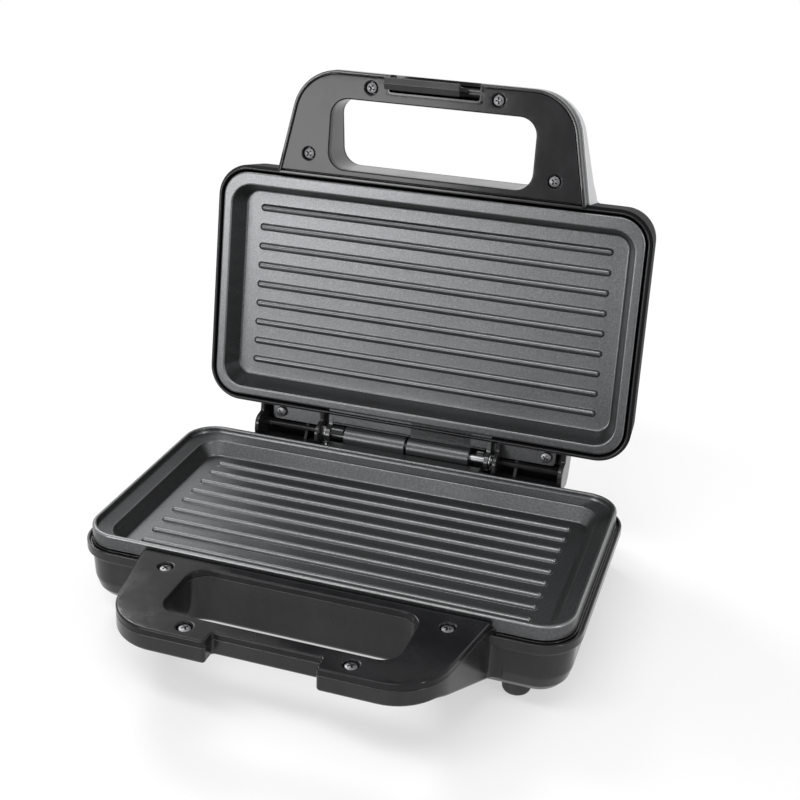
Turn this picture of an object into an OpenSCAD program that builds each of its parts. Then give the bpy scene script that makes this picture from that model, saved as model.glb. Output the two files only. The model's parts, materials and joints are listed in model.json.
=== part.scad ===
// Two-slice grill sandwich toaster: a base on four feet and a lid hinged at the back.
// X runs across the width, Y runs from the handles to the hinge and Z points up.
// The origin is on the ground, under the middle of the opened toaster.
// Every sub-part is drawn where it sits with the lid closed, and the lid's are then swung open.

/* [Cooking plates] */
// Width of the cooking cavities at the rim
cavity_w = 214; // [206:1:222]
// Depth, front to back, of the cooking cavities at the rim
cavity_d = 110; // [106:1:116]
// How far the cooking floor lies from the rim
cavity_depth = 12; // [10:0.5:13]
// How far the cavity wall leans in on each side
cavity_lean = 3.5; // [2:0.25:5]
// Width of the lower plate's rim at its sides
rim_side = 9; // [7:0.5:12]
// Width of the lower plate's rim at its front and back
rim_front = 7.5; // [6.5:0.5:9]
// Width of the upper plate's rim at its sides
lid_rim_side = 5; // [4.6:0.2:6.4]
// Width of the upper plate's rim at its front and back
lid_rim_front = 6; // [5:0.2:6.6]
// Corner radius of the lower plate's rim
plate_corner = 16; // [14:0.5:20]
// Thickness of the cast plates
plate_wall = 2.2; // [1.8:0.1:2.6]
// Height of the turned-down skirt round each plate
skirt_h = 7; // [5:0.5:8]
// Gap between the two rims when the lid is closed
rim_gap = 0.8; // [0.6:0.1:1.4]
// Number of ribs on each plate
rib_count = 9; // [5:1:9]
// Distance from one rib to the next
rib_pitch = 10.5; // [9:0.25:11]
// Distance from a rib's end to the edge of the cooking floor
rib_end = 8.5; // [5:0.5:20]
// Diameter of the half-round ribs
rib_d = 3.4; // [2.4:0.1:4]

/* [Casings] */
// How far the base casing stands out beyond its plate at the sides
band_side = 3; // [2:0.5:6]
// How far the base casing stands out beyond its plate at the front and back
band_front = 2.5; // [2:0.5:5]
// Height of the lower plate's rim above the ground
rim_z = 46.4; // [44:0.2:54]
// Height of the casing's underside above the ground
ground_gap = 9.5; // [7:0.5:12]
// Gap between the upper plate and the lid's shell round it
lid_gap = 1.1; // [0.8:0.1:1.8]
// Height of the lid above the closed rims
lid_h = 36; // [34:0.5:44]
// Wall thickness of the moulded casings
wall = 2.4; // [2:0.1:2.8]
// Thickness of the steel panel on the lid with its folded edge
skin_t = 1.2; // [0.8:0.1:1.6]

/* [Handles] */
// How far the handles reach out from the base casing
handle_len = 55; // [51:1:62]
// Width of a handle where it leaves the casing
handle_root_w = 165; // [158:1:175]
// How much each side of a handle leans in, in degrees
handle_lean = 11.3; // [6:0.1:13]
// Radius of a handle's front corners
handle_corner = 21; // [15:0.5:24]
// Height of the face where the two handles meet
handle_z = 44.4; // [43:0.1:45.4]
// Width of the grip opening
grip_w = 107; // [98:1:112]
// Width of the bar in front of the grip opening
front_bar = 14.8; // [13.6:0.2:18]
// Width of the bar between the grip opening and the casing
back_bar = 7.2; // [6.2:0.2:12]
// Corner radius of the grip opening
grip_corner = 9; // [6:0.5:11]
// Thickness of the handle covers
cover_t = 3.2; // [2.8:0.1:3.6]

/* [Hinge] */
// Distance of the hinge axis behind the lower plate's rim
hinge_back = 10.8; // [10.6:0.1:14]
// Height of the hinge axis above the lower plate's rim
hinge_rise = 1.6; // [1:0.1:2.2]
// Angle between the closed and the opened lid
open_angle = 98; // [92:1:104]
// Diameter of the hinge pin
pin_d = 5; // [4:0.25:6]
// Diameter of the hinge barrels
barrel_d = 10.5; // [9.5:0.1:11]
// Length of each hinge barrel
barrel_len = 34; // [28:1:36]

/* [Latch] */
// Width of the latch
latch_w = 38.5; // [34:0.5:40]
// Width of the notch that the latch drops into
notch_w = 49; // [47:0.5:53]
// Depth of the notch in the lower handle
notch_d = 7.6; // [7:0.1:8.4]

/* [Feet and screws] */
// Diameter of the feet
foot_d = 13; // [10:0.5:15]
// Distance of the front feet from the casing's sides
front_foot_in = 28; // [24:1:45]
// Distance of the rear feet from the casing's sides
rear_foot_in = 13.5; // [13:0.5:24]
// Distance of the front feet behind the casing's front
front_foot_back = 20.5; // [20:0.5:32]
// Shank diameter of the screws
screw_d = 3; // [2.5:0.1:3.4]
// Head diameter of the screws
screw_head_d = 5.6; // [5:0.1:6.2]

/* [Hidden] */

$fn = 48;
hull_fn = 32;
slab = 0.01;
reach = 400;

// clearances: a running fit on the radius, pieces seated together, and pieces that pass each other
running = 0.05;
seat_gap = 0.3;
side_gap = 0.15;
pass_gap = 0.8;

// the plates: their outlines follow the cavities, and the upper rim lies a little forward
plate_w = cavity_w + 2 * rim_side;
plate_d = cavity_d + 2 * rim_front;
lid_plate_w = cavity_w + 2 * lid_rim_side;
lid_plate_d = cavity_d + 2 * lid_rim_front;
lid_plate_corner = plate_corner - 2;
lid_y = -1;
floor_w = cavity_w - 2 * cavity_lean;
floor_d = cavity_d - 2 * cavity_lean;
pan_depth = cavity_depth + plate_wall;
ledge_drop = skirt_h - plate_wall;
ledge_slope = 1.8;
cavity_corner = 11;
rib_len = floor_w - 2 * rib_end;

// heights and places that the base and the lid share
hinge_y = plate_d / 2 + hinge_back;
hinge_z = rim_z + hinge_rise;
lid_rim_z = rim_z + rim_gap;
lid_top_z = lid_rim_z + lid_h;
lid_w = lid_plate_w + 2 * (lid_gap + wall);
lid_d = lid_plate_d + 2 * (lid_gap + wall);
lid_corner = lid_plate_corner + lid_gap + wall;
lid_front = lid_y - lid_d / 2;
lid_back = lid_y + lid_d / 2;

// screws, their bosses and what they hold
head_h = 2.4;
head_clear = 0.4;
boss_d = 7.6;
plate_boss_h = 5;
post_d = 8;
shoulder_d = 14;
plate_screw_in = [33, 12];
plate_screw_x = floor_w / 2 - plate_screw_in[0];
plate_screw_y = floor_d / 2 - plate_screw_in[1];
plate_grip = plate_boss_h - 0.8;
cover_grip = 6;
ear_grip = 6;
tip_room = 1;

// sheathed heating elements, bent to a U under each cooking floor, and their reflectors
element_d = 6.4;
element_len = floor_w - 47;
element_span = floor_d - 41;
element_gap = 0.1;
reflector_t = 0.8;
reflector_gap = 1.6;
cold_end = 9;
cold_end_d = 3;
element_drop = pan_depth + element_gap + element_d / 2;
reflector_drop = element_drop + element_d / 2 + reflector_gap;

// the base casing: a tub with a channelled lip at the top and a tucked-in wall below it
casing_w = plate_w + 2 * band_side;
casing_d = plate_d + 2 * band_front;
casing_corner = plate_corner + band_side;
casing_top = rim_z - skirt_h - pass_gap;
band_h = 4.3;
band_bottom = casing_top - band_h;
flare = 2;
lip_t = 1.3;
channel_w = 1.2;
channel_h = 1.6;
floor_in = 12;
floor_z = ground_gap + wall;
tuck = 2.5;
boss_seat_z = rim_z - pan_depth - plate_boss_h;
plate_head_z = ground_gap + 7;

// the feet, their stems and the thicker floor that the rear ones pass through
foot_stem_d = 5;
foot_round = 2.5;
foot_barb = 0.8;
foot_barb_h = 1.4;
rear_pad = 1.2;
front_foot_x = casing_w / 2 - front_foot_in;
front_foot_y = -casing_d / 2 + front_foot_back;
rear_foot_x = casing_w / 2 - rear_foot_in;
rear_foot_y = hinge_y - 1.3;

// the rear housing that carries the rear feet, the lid's stops and the cord's inlet
rear_edge = 0.5;
rear_w = 2 * rear_foot_x + foot_d + 2 * rear_edge;
rear_back = rear_foot_y + foot_d / 2 + 3 * rear_edge;
rear_front = casing_d / 2 - 12;
rear_corner = 8;
rear_h = 16.5;
rear_top = ground_gap + rear_h;
stop_w = 22;
stop_half = 5;
inlet_d = 10;
inlet_lip = 1.6;
inlet_z = ground_gap + rear_h / 2;
inlet_x = -30;
duct_w = 30;

// the outline that both handles share
root_overlap = 9;
root_y = -(casing_d / 2 - 3);
front_y = -(casing_d / 2 + handle_len);
lean_c = cos(handle_lean);
lean_s = sin(handle_lean);
corner_y = front_y + handle_corner;
corner_x = handle_root_w / 2 + (corner_y * lean_s - root_y * lean_s - handle_corner) / lean_c;
grip_d = root_y - back_bar - front_y - front_bar;
grip_y = front_y + front_bar + grip_d / 2;

// the lower handle
body_top = handle_z - cover_t;
bar_h = 8;
body_low = body_top - bar_h;
root_low = ground_gap + 6;
lower_screws = [
    [handle_root_w / 2 - 16.7, root_y - 11.7], [grip_w / 2 - 16.6, front_y + front_bar / 2]
];
cover_back = -plate_d / 2 - pass_gap;

// the upper handle, whose cover is let into its rim
upper_face_z = handle_z + seat_gap;
upper_seat_z = upper_face_z + cover_t;
upper_rim = 2;
upper_root_y = lid_front - seat_gap;
upper_screws = [
    [handle_root_w / 2 - 18, root_y - 13.5], [grip_w / 2 - 20.5, front_y + front_bar / 2 + 0.6]
];
top_turn = 10;
upper_root_top = lid_top_z - top_turn - 1.2;
lid_head_z = lid_top_z - 6;
lid_boss_seat_z = lid_rim_z + pan_depth + plate_boss_h;
skin_low = upper_face_z + 7;
skin_inset = 13;
skin_side = 1.7;

// hinge: two barrels between two lugs, with the lid's ears outside them
barrel_gap = 0.5;
lug_in = barrel_len + 8.5;
lobe_clear = 0.8;
lug_t = 2.5;
lug_r = 4.8;
ring_t = 0.8;
ring_gap = 0.1;
pin_half = lug_in + lug_t + ring_gap + 2 * ring_t;
ear_in = pin_half + lobe_clear;
ear_w = 37;
ear_out = ear_in + ear_w;
stop_x = ear_in + ear_w / 2;
ear_r = 9;
ear_wall = 2.2;
ear_roof = hinge_z + 15;
ear_screw_x = ear_out - 11;
ear_screw_y = lid_back + 3.6;
arm_z = lid_rim_z + 4.8;
arm_t = 2.2;
arm_out = ear_screw_x + 5;
arm_margin = 4.5;
tab_low = lid_rim_z + 1;
tab_high = lid_rim_z + 5;
flange_back = hinge_y - barrel_d / 2 - pass_gap;

// the trough on the lower plate that runs under the barrels, and the shelf on either side of it
trough_gap = 0.5;
trough_half = lug_in - pass_gap;
trough_back = hinge_y + 3;
trough_low = rim_z - skirt_h + 0.5;
trough_high = rim_z - 0.6;
shelf_half = ear_in - 1;
shelf_back = hinge_y - lug_r - 2.5;
shelf_high = rim_z - 1.6;

// the latch, hung on its pin inside the upper handle
latch_turn = 8;
latch_t = 2.4;
latch_x = -2.75;
latch_pin_d = 2.5;
latch_barrel = 5.4;
latch_back = front_y + notch_d - 0.4;
latch_y = latch_back - latch_t / 2;
latch_rise = 7.5;
latch_z = upper_face_z + latch_rise;
hook_z = body_low - seat_gap;
hook_h = 2.7;
hook_reach = 2.6;
slot_w = notch_w - 2;
slot_depth = latch_y + latch_barrel / 2 + 0.6 - front_y;
slot_top = latch_z + latch_barrel / 2 + 0.8;

// the indicator lamps
lens_d = 6;
lens_x = 9;
lens_y = lid_front + 23.5;
lens_lip = 1.2;
lamp_d = 3;
lamp_drop = 9;
board_w = 40;
board_d = 16;
board_t = 1.6;
board_post_x = 16;

// The opened lid's rearmost point is the front edge of its flat top, so the origin follows it.
skin_top_z = lid_top_z + skin_t;
open_back_y = hinge_y + sin(open_angle) * (skin_top_z - hinge_z)
    + cos(open_angle) * (lid_front + top_turn - 0.3 * skin_t - hinge_y);
origin_y = -(open_back_y + front_y) / 2;

// ---- frames ----

// Puts the children where the base sits.
module in_base() {
    translate([0, origin_y, 0]) children();
}

// Puts the children, drawn with the lid closed, where the opened lid holds them.
module in_lid() {
    translate([0, origin_y + hinge_y, hinge_z]) rotate([-open_angle, 0, 0])
        translate([0, -hinge_y, -hinge_z]) children();
}

// ---- flat outlines ----

// A rectangle with round corners, centred on the origin.
module rounded_rect(w, d, r) {
    square([w - 2 * r, d], center = true);
    square([w, d - 2 * r], center = true);
    for (x = [-1, 1], y = [-1, 1])
        translate([x * (w / 2 - r), y * (d / 2 - r)]) circle(r);
}

// The outline of a handle: leaning sides, round front corners, and a root that runs into the casing.
module handle_outline(inset = 0) {
    r = handle_corner - inset;
    front = front_y + inset;
    back = root_y + root_overlap;
    side_x = handle_root_w / 2 - inset / lean_c;
    front_x = side_x - (root_y - front) * lean_s / lean_c;
    tangent_y = corner_y - r * lean_s;
    intersection() {
        polygon([
            [side_x, back], [side_x, root_y], [front_x, front],
            [-front_x, front], [-side_x, root_y], [-side_x, back]
        ]);
        union() {
            translate([-corner_x, front - 1]) square([2 * corner_x, handle_len]);
            translate([-handle_root_w, tangent_y]) square([2 * handle_root_w, 2 * handle_len]);
            for (side = [-1, 1]) translate([side * corner_x, corner_y]) circle(r);
        }
    }
}

// The outline of the grip opening, larger by the given amount all round.
module grip_outline(grow = 0) {
    translate([0, grip_y])
        rounded_rect(grip_w + 2 * grow, grip_d + 2 * grow, grip_corner + grow);
}

// The strip at a handle's front edge that the latch works in.
module front_strip(w, depth) {
    translate([-w / 2, front_y - 5]) square([w, depth + 5]);
}

// What is left inside a handle: its outline less its walls, the grip's wall and the screw bosses.
module handle_hollow(inset, back, screws, strip_w, strip_d) {
    difference() {
        handle_outline(inset);
        grip_outline(wall);
        front_strip(strip_w + 2 * wall, strip_d + wall);
        translate([-reach / 2, back]) square([reach, reach]);
        for (place = screws, side = [-1, 1])
            translate([side * place[0], place[1]]) circle(d = boss_d);
    }
}

// ---- solid helpers ----

// A very thin rounded rectangle at one height, for use inside hull().
module thin_rect(w, d, r, z) {
    translate([0, 0, z]) linear_extrude(slab) rounded_rect(w, d, r, $fn = hull_fn);
}

// A rounded box whose outline steps in and out: each level is a height and an inset.
module stepped_box(w, d, r, levels) {
    hull() for (level = levels)
        thin_rect(w - 2 * level[1], d - 2 * level[1], max(r - level[1], 2), level[0]);
}

// An outline drawn out from one height to another.
module between(low, high) {
    translate([0, 0, low]) linear_extrude(high - low) children();
}

// A side view in Y and Z, drawn out along X from x0 to x1.
module across(x0, x1) {
    translate([x0, 0, 0]) rotate([90, 0, 90]) linear_extrude(x1 - x0) children();
}

// A round bar along X from x0 to x1.
module bar_x(x0, x1, d) {
    translate([x0, 0, 0]) rotate([0, 90, 0]) cylinder(h = x1 - x0, d = d);
}

// Copies of the children at each place of a list and at its mirror image.
module both_sides(places) {
    for (place = places, side = [-1, 1])
        translate([side * place[0], place[1], 0]) children();
}

// Copies of the children at the four places where a cooking plate is screwed down.
module at_plate_screws() {
    for (x = [-1, 1], y = [-1, 1])
        translate([x * plate_screw_x, y * plate_screw_y, 0]) children();
}

// A cross-head screw that points down, with its head's seat at height 0.
module screw(len) {
    difference() {
        union() {
            translate([0, 0, -len]) cylinder(h = len, d = screw_d - 2 * running);
            cylinder(h = head_h - 0.6, d = screw_head_d);
            translate([0, 0, head_h - 0.6])
                cylinder(h = 0.6, d1 = screw_head_d, d2 = screw_head_d - 1.4);
        }
        for (turn = [0, 90]) rotate(turn)
            translate([-1.5, -0.35, head_h - 1.4]) cube([3, 0.7, 3]);
    }
}

// The same screw, pointing up.
module screw_up(len) {
    mirror([0, 0, 1]) screw(len);
}

// ---- shapes that the base and the lid share ----

// A cooking plate that faces up, with its rim at height 0. Inside a thin border its top can lie
// lower by the given ledge, and the last of that drop is a slope towards the cavity.
module plate_shape(w, d, r, y, ledge = 0, slope = 0) {
    inner_w = w - 2 * plate_wall;
    inner_d = d - 2 * plate_wall;
    inner_r = r - plate_wall;
    difference() {
        union() {
            translate([0, y, 0]) {
                between(-ledge - plate_wall, slope - ledge) rounded_rect(w, d, r);
                between(-skirt_h, 0) difference() {
                    rounded_rect(w, d, r);
                    rounded_rect(inner_w, inner_d, inner_r);
                }
            }
            hull() {
                thin_rect(cavity_w + 2 * plate_wall, cavity_d + 2 * plate_wall,
                    cavity_corner + plate_wall, -ledge - 2 * slab);
                thin_rect(floor_w + 2 * plate_wall, floor_d + 2 * plate_wall,
                    cavity_corner + plate_wall - cavity_lean, -pan_depth);
            }
            at_plate_screws() translate([0, 0, -pan_depth - plate_boss_h])
                cylinder(h = plate_boss_h + 0.5, d = boss_d);
        }
        hull() {
            thin_rect(cavity_w, cavity_d, cavity_corner, slab - ledge);
            thin_rect(floor_w, floor_d, cavity_corner - cavity_lean, -cavity_depth);
        }
        if (slope > 0) hull() {
            thin_rect(cavity_w, cavity_d, cavity_corner, -ledge);
            translate([0, y, 0]) thin_rect(inner_w, inner_d, inner_r, slope - ledge);
        }
        at_plate_screws() translate([0, 0, -pan_depth - plate_boss_h - 1])
            cylinder(h = plate_boss_h + 1, d = screw_d);
    }
    for (i = [0 : rib_count - 1])
        translate([0, (i - (rib_count - 1) / 2) * rib_pitch, -cavity_depth]) rib();
}

// One half-round rib with ball ends, sunk in the cooking floor to its middle.
module rib() {
    half = (rib_len - rib_d) / 2;
    bar_x(-half, half, rib_d);
    for (side = [-1, 1]) translate([side * half, 0, 0]) sphere(d = rib_d);
}

// A U-shaped sheathed heater that lies flat at height 0, with its cold ends to the left.
module element_shape() {
    r = element_span / 2;
    bend_x = element_len / 2 - r;
    for (side = [-1, 1]) translate([0, side * r, 0]) {
        bar_x(-element_len / 2, bend_x, element_d);
        bar_x(-element_len / 2 - cold_end, -element_len / 2, cold_end_d);
    }
    translate([bend_x, 0, 0]) rotate(-90)
        rotate_extrude(angle = 180) translate([r, 0]) circle(d = element_d);
}

// A flat sheet reflector with holes for the posts, its upper face at height 0.
module reflector_shape() {
    difference() {
        between(-reflector_t, 0) rounded_rect(floor_w - 6, floor_d - 2, cavity_corner);
        at_plate_screws() translate([0, 0, -2]) cylinder(h = 4, d = post_d + 2 * side_gap);
    }
}

// A hinge barrel from x0 to x1.
module barrel(x0, x1) {
    translate([0, hinge_y, hinge_z]) bar_x(x0, x1, barrel_d);
}

// What is cut out of everything on the hinge axis for the pin.
module pin_bore() {
    translate([0, hinge_y, hinge_z]) bar_x(-reach / 2, reach / 2, pin_d + 2 * running);
}

// ---- base ----

// The tub without its hollow.
module tub_outside() {
    stepped_box(casing_w, casing_d, casing_corner, [
        [ground_gap, floor_in], [ground_gap + 2, 7.5], [ground_gap + 5, 5],
        [ground_gap + 10.5, tuck + 0.7], [band_bottom - flare, tuck]
    ]);
    stepped_box(casing_w, casing_d, casing_corner,
        [[band_bottom - flare - slab, tuck], [band_bottom, 0]]);
    between(band_bottom, casing_top) casing_outline(0);
}

// The tub's outline at its lip, moved in by the given amount.
module casing_outline(inset) {
    rounded_rect(casing_w - 2 * inset, casing_d - 2 * inset, casing_corner - inset);
}

// The channel in the top of the tub's lip, between the lip's edge and the bead round the plate.
module lip_channel() {
    between(casing_top - channel_h, casing_top + 1) difference() {
        casing_outline(lip_t);
        casing_outline(lip_t + channel_w);
    }
}

// The hollow of the tub, open at the top.
module tub_inside() {
    stepped_box(casing_w, casing_d, casing_corner, [
        [floor_z, floor_in + wall], [floor_z + 3, 6 + wall], [floor_z + 9, tuck + wall + 0.7],
        [casing_top + 1, tuck + wall]
    ]);
}

// The low housing behind the tub, and the two stops that the open lid's ears come down on.
module rear_housing() {
    middle = (rear_front + rear_back) / 2;
    between(ground_gap, rear_top)
        translate([0, middle]) rounded_rect(rear_w, rear_back - rear_front, rear_corner);
    for (side = [-1, 1]) across(side * stop_x - stop_w / 2, side * stop_x + stop_w / 2) polygon([
        [hinge_y - stop_half, rear_top - 1], [hinge_y + stop_half, rear_top - 1],
        [hinge_y + stop_half, stop_z(stop_half)], [hinge_y - stop_half, stop_z(-stop_half)]
    ]);
}

// The height of a stop, so far behind the hinge axis, that meets the ears of the opened lid.
function stop_z(y) = hinge_z - ear_r * sin(open_angle)
    + (y - ear_r * cos(open_angle)) / tan(open_angle) - seat_gap;

// The hollow of the rear housing, with a window to the tub for the wires.
module rear_inside() {
    low_y = casing_d / 2 - tuck + wall;
    high_y = rear_back - wall;
    w = rear_w - 2 * wall;
    difference() {
        between(floor_z, rear_top - wall) translate([0, (low_y + high_y) / 2])
            rounded_rect(w, high_y - low_y, rear_corner - wall);
        both_sides([[rear_foot_x, rear_foot_y]]) cylinder(h = floor_z + rear_pad, d = 2 * foot_stem_d);
    }
    translate([inlet_x - duct_w / 2, rear_front - 8, floor_z + 1]) cube([duct_w, 25, 8]);
}

// The side view of the lower handle: level in front, then sloping down to the tub.
module lower_handle_side() {
    polygon([
        [front_y - 1, body_low], [front_y - 1, body_top], [cover_back, body_top],
        [cover_back, casing_top], [root_y + root_overlap, casing_top],
        [root_y + root_overlap, root_low], [root_y - 2, root_low], [front_y + 13, body_low]
    ]);
}

// The hollow of the lower handle in side view, open at the top.
module lower_handle_side_inside() {
    polygon([
        [front_y - 1, body_low + wall], [front_y - 1, body_top + 1], [root_y, body_top + 1],
        [root_y, root_low + 2 * wall], [front_y + 13, body_low + wall]
    ]);
}

// The base casing before its screw posts and holes are made.
module hollow_casing() {
    difference() {
        union() {
            tub_outside();
            rear_housing();
            intersection() {
                between(0, body_top) handle_outline();
                across(-reach / 2, reach / 2) lower_handle_side();
            }
        }
        tub_inside();
        rear_inside();
        intersection() {
            between(0, body_top + 1)
                handle_hollow(wall, root_y - 5, lower_screws, notch_w, notch_d);
            across(-reach / 2, reach / 2) lower_handle_side_inside();
        }
    }
}

module base_casing() {
    color("#1b1c1e") in_base() difference() {
        union() {
            hollow_casing();
            at_plate_screws() {
                between(ground_gap, rim_z - reflector_drop - reflector_t) circle(d = shoulder_d);
                between(ground_gap, boss_seat_z) circle(d = post_d);
            }
        }
        lip_channel();
        between(0, body_top + 1) grip_outline();
        between(0, body_top + 1) front_strip(notch_w, notch_d);
        both_sides(lower_screws) between(body_top - cover_grip - tip_room, body_top + 1)
            circle(d = screw_d);
        at_plate_screws() {
            cylinder(h = reach / 2, d = screw_d);
            cylinder(h = plate_head_z, d = screw_head_d + 2 * head_clear);
        }
        foot_holes();
        translate([inlet_x, rear_back, inlet_z]) rotate([90, 0, 0])
            cylinder(h = 3 * wall, d = inlet_d, center = true);
    }
}

// The holes that the feet's stems push through.
module foot_holes() {
    both_sides([[front_foot_x, front_foot_y], [rear_foot_x, rear_foot_y]])
        cylinder(h = floor_z + rear_pad + 1, d = foot_stem_d + 2 * running);
}

// Side view of the trough behind the lower plate, hollowed round the barrels that lie over it.
module trough_side() {
    difference() {
        translate([plate_d / 2 - 1, trough_low])
            square([trough_back - plate_d / 2 + 1, trough_high - trough_low]);
        translate([hinge_y, hinge_z]) circle(barrel_d / 2 + trough_gap);
    }
}

module base_plate() {
    color("#3a3b3d") in_base() difference() {
        union() {
            translate([0, 0, rim_z])
                plate_shape(plate_w, plate_d, plate_corner, 0, ledge_drop, ledge_slope);
            barrel(-barrel_len - barrel_gap, -barrel_gap);
            across(-barrel_len - barrel_gap, -barrel_gap) polygon([
                [plate_d / 2 - 1, trough_low], [plate_d / 2 - 1, trough_high],
                [hinge_y, trough_high], [hinge_y, trough_low]
            ]);
            across(-trough_half, trough_half) trough_side();
            translate([-shelf_half, plate_d / 2 - 1, trough_low])
                cube([2 * shelf_half, shelf_back - plate_d / 2 + 1, shelf_high - trough_low]);
        }
        pin_bore();
    }
}

module base_element() {
    color("#8c8a84") in_base() translate([0, 0, rim_z - element_drop]) element_shape();
}

module base_reflector() {
    color("#c9cacb") in_base() translate([0, 0, rim_z - reflector_drop]) reflector_shape();
}

module base_handle_cover() {
    color("#101113") in_base() difference() {
        between(body_top, handle_z) difference() {
            handle_outline();
            grip_outline();
            front_strip(notch_w, notch_d);
            translate([-reach / 2, cover_back]) square([reach, reach]);
        }
        both_sides(lower_screws) {
            translate([0, 0, body_top - 1]) cylinder(h = cover_t + 2, d = screw_d);
            translate([0, 0, handle_z - head_h]) cylinder(h = 5, d = screw_head_d + 2 * head_clear);
        }
    }
}

module base_handle_screws() {
    color("#55565a") in_base() both_sides(lower_screws)
        translate([0, 0, handle_z - head_h]) screw(cover_t - head_h + cover_grip);
}

module base_plate_screws() {
    color("#8a8b8e") in_base() at_plate_screws()
        translate([0, 0, plate_head_z]) screw_up(boss_seat_z + plate_grip - plate_head_z);
}

// A disc thermostat: a sensing cap against the plate, a ceramic body and two tags.
module thermostat() {
    under = rim_z - pan_depth;
    cap_h = 2.5;
    body = [20, 15, 3.5];
    tag = [8, 5, 0.8];
    left = 14;
    color("#d8d4c8") in_base() translate([-left, 0, under - cap_h]) {
        cylinder(h = cap_h, d = body[1]);
        translate([0, 0, -body[2] / 2]) cube(body, center = true);
        for (side = [-1, 1]) translate([side * (body[0] + tag[0] / 2) / 2, 0, -body[2] / 2])
            cube([tag[0], tag[1], tag[2]], center = true);
    }
}

// A thermal fuse: a small barrel with a wire at each end, laid against the plate.
module thermal_fuse() {
    d = 4.2;
    len = 24;
    wire = 6;
    start = 18;
    color("#e6e2d6") in_base() translate([start, 0, rim_z - pan_depth - d / 2 - slab]) {
        bar_x(0, len, d);
        bar_x(-wire, 0, 1);
        bar_x(len, len + wire, 1);
    }
}

// A block of three screw terminals on the casing's floor, in front of the cord's inlet.
module terminal_block() {
    w = 32;
    d = 14;
    h = 9;
    pitch = 10;
    forward = 31;
    color("#e9e6dc") in_base() translate([inlet_x, rear_front - forward, floor_z]) difference() {
        translate([-w / 2, -d / 2, 0]) cube([w, d, h]);
        for (i = [-1, 0, 1]) translate([i * pitch, 0, h / 2]) {
            cylinder(h = h, d = 4);
            rotate([90, 0, 0]) cylinder(h = d + 1, d = 3.2, center = true);
        }
    }
}

// The rubber bush in the cord's inlet: a grooved ring that grips the rear wall.
module cord_gland() {
    color("#202020") in_base() translate([inlet_x, rear_back + inlet_lip, inlet_z]) rotate([90, 0, 0])
        difference() {
            union() {
                cylinder(h = wall + 2 * inlet_lip, d = inlet_d - 2 * running);
                cylinder(h = inlet_lip, d = inlet_d + 2.5 * inlet_lip);
                translate([0, 0, wall + inlet_lip + running])
                    cylinder(h = inlet_lip - running, d = inlet_d + 1.4);
            }
            translate([0, 0, -1]) cylinder(h = wall + 2 * inlet_lip + 2, d = inlet_d - 3.6);
        }
}

// A rubber foot with a round lower edge and a stem that snaps through the casing's floor.
module foot(x, y) {
    stem_top = floor_z + running + (y > 0 ? rear_pad : 0);
    color("#141414") in_base() translate([x, y, 0]) {
        rotate_extrude() {
            square([foot_d / 2 - foot_round, ground_gap]);
            translate([0, foot_round]) square([foot_d / 2, ground_gap - foot_round]);
            translate([foot_d / 2 - foot_round, foot_round]) circle(foot_round);
        }
        cylinder(h = stem_top, d = foot_stem_d);
        translate([0, 0, stem_top]) cylinder(h = foot_barb_h, d = foot_stem_d + 2 * foot_barb);
    }
}

module foot_front_left() { foot(-front_foot_x, front_foot_y); }
module foot_front_right() { foot(front_foot_x, front_foot_y); }
module foot_rear_left() { foot(-rear_foot_x, rear_foot_y); }
module foot_rear_right() { foot(rear_foot_x, rear_foot_y); }

// ---- hinge ----

module hinge_pin() {
    color("#c4c6c8") in_base() translate([0, hinge_y, hinge_z])
        bar_x(-pin_half, pin_half, pin_d);
}

module pin_rings() {
    color("#9a9c9e") in_base() for (side = [-1, 1])
        translate([side * (lug_in + lug_t + ring_gap + ring_t / 2), hinge_y, hinge_z]) difference() {
            bar_x(-ring_t / 2, ring_t / 2, pin_d + 4 * ring_t);
            bar_x(-1, 1, pin_d + 2 * running);
        }
}

// ---- lid ----

// The outside of the lid's shell: a rounded lip, steep walls and a soft turn to the flat top.
module shell_outside() {
    translate([0, lid_y, 0]) stepped_box(lid_w, lid_d, lid_corner, [
        [lid_rim_z, 1], [lid_rim_z + 1.8, 0], [lid_top_z - 12, 1.5], [lid_top_z - 6, 3.2],
        [lid_top_z - 2.4, 6.2], [lid_top_z - slab, top_turn]
    ]);
}

// The hollow of the lid's shell, open underneath.
module shell_inside() {
    translate([0, lid_y, 0]) stepped_box(lid_w, lid_d, lid_corner, [
        [lid_rim_z - 1, wall], [lid_top_z - 12, 1.5 + wall], [lid_top_z - 6, 3.2 + wall],
        [lid_top_z - wall, 7 + wall]
    ]);
}

// The upper edge of the upper handle in side view, moved outwards by the given amount.
function upper_edge(grow = 0) = [
    [front_y - grow, upper_face_z + 5],
    [front_y + 2.2 - 0.8 * grow, upper_face_z + 10 + 0.6 * grow],
    [front_y + 6.5 - 0.5 * grow, upper_face_z + 13.5 + 0.87 * grow],
    [front_y + 13 - 0.3 * grow, upper_face_z + 16 + 0.95 * grow],
    [lid_front + 3, upper_root_top + grow]
];

// Everything in front of the lid that lies under the upper edge of its handle.
module under_upper_edge(grow) {
    across(-reach / 2, reach / 2) polygon(concat(
        [[lid_front + 3, upper_face_z - 1], [front_y - grow, upper_face_z - 1]], upper_edge(grow)
    ));
}

// The upper handle as a solid from one height up to its upper edge, and back to the given place.
module upper_handle(inset, grow, low, back) {
    intersection() {
        between(low, lid_top_z) difference() {
            handle_outline(inset);
            translate([-reach / 2, back]) square([reach, reach]);
        }
        under_upper_edge(grow);
    }
}

// The hollow of the upper handle, above its cover.
module upper_handle_inside() {
    intersection() {
        between(upper_seat_z, lid_top_z)
            handle_hollow(wall + upper_rim, upper_root_y - wall, upper_screws, slot_w, slot_depth);
        under_upper_edge(-wall);
    }
}

// The slot in the upper handle's front that the latch swings in.
module latch_slot() {
    between(upper_face_z - 1, slot_top) front_strip(slot_w, slot_depth);
}

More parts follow.
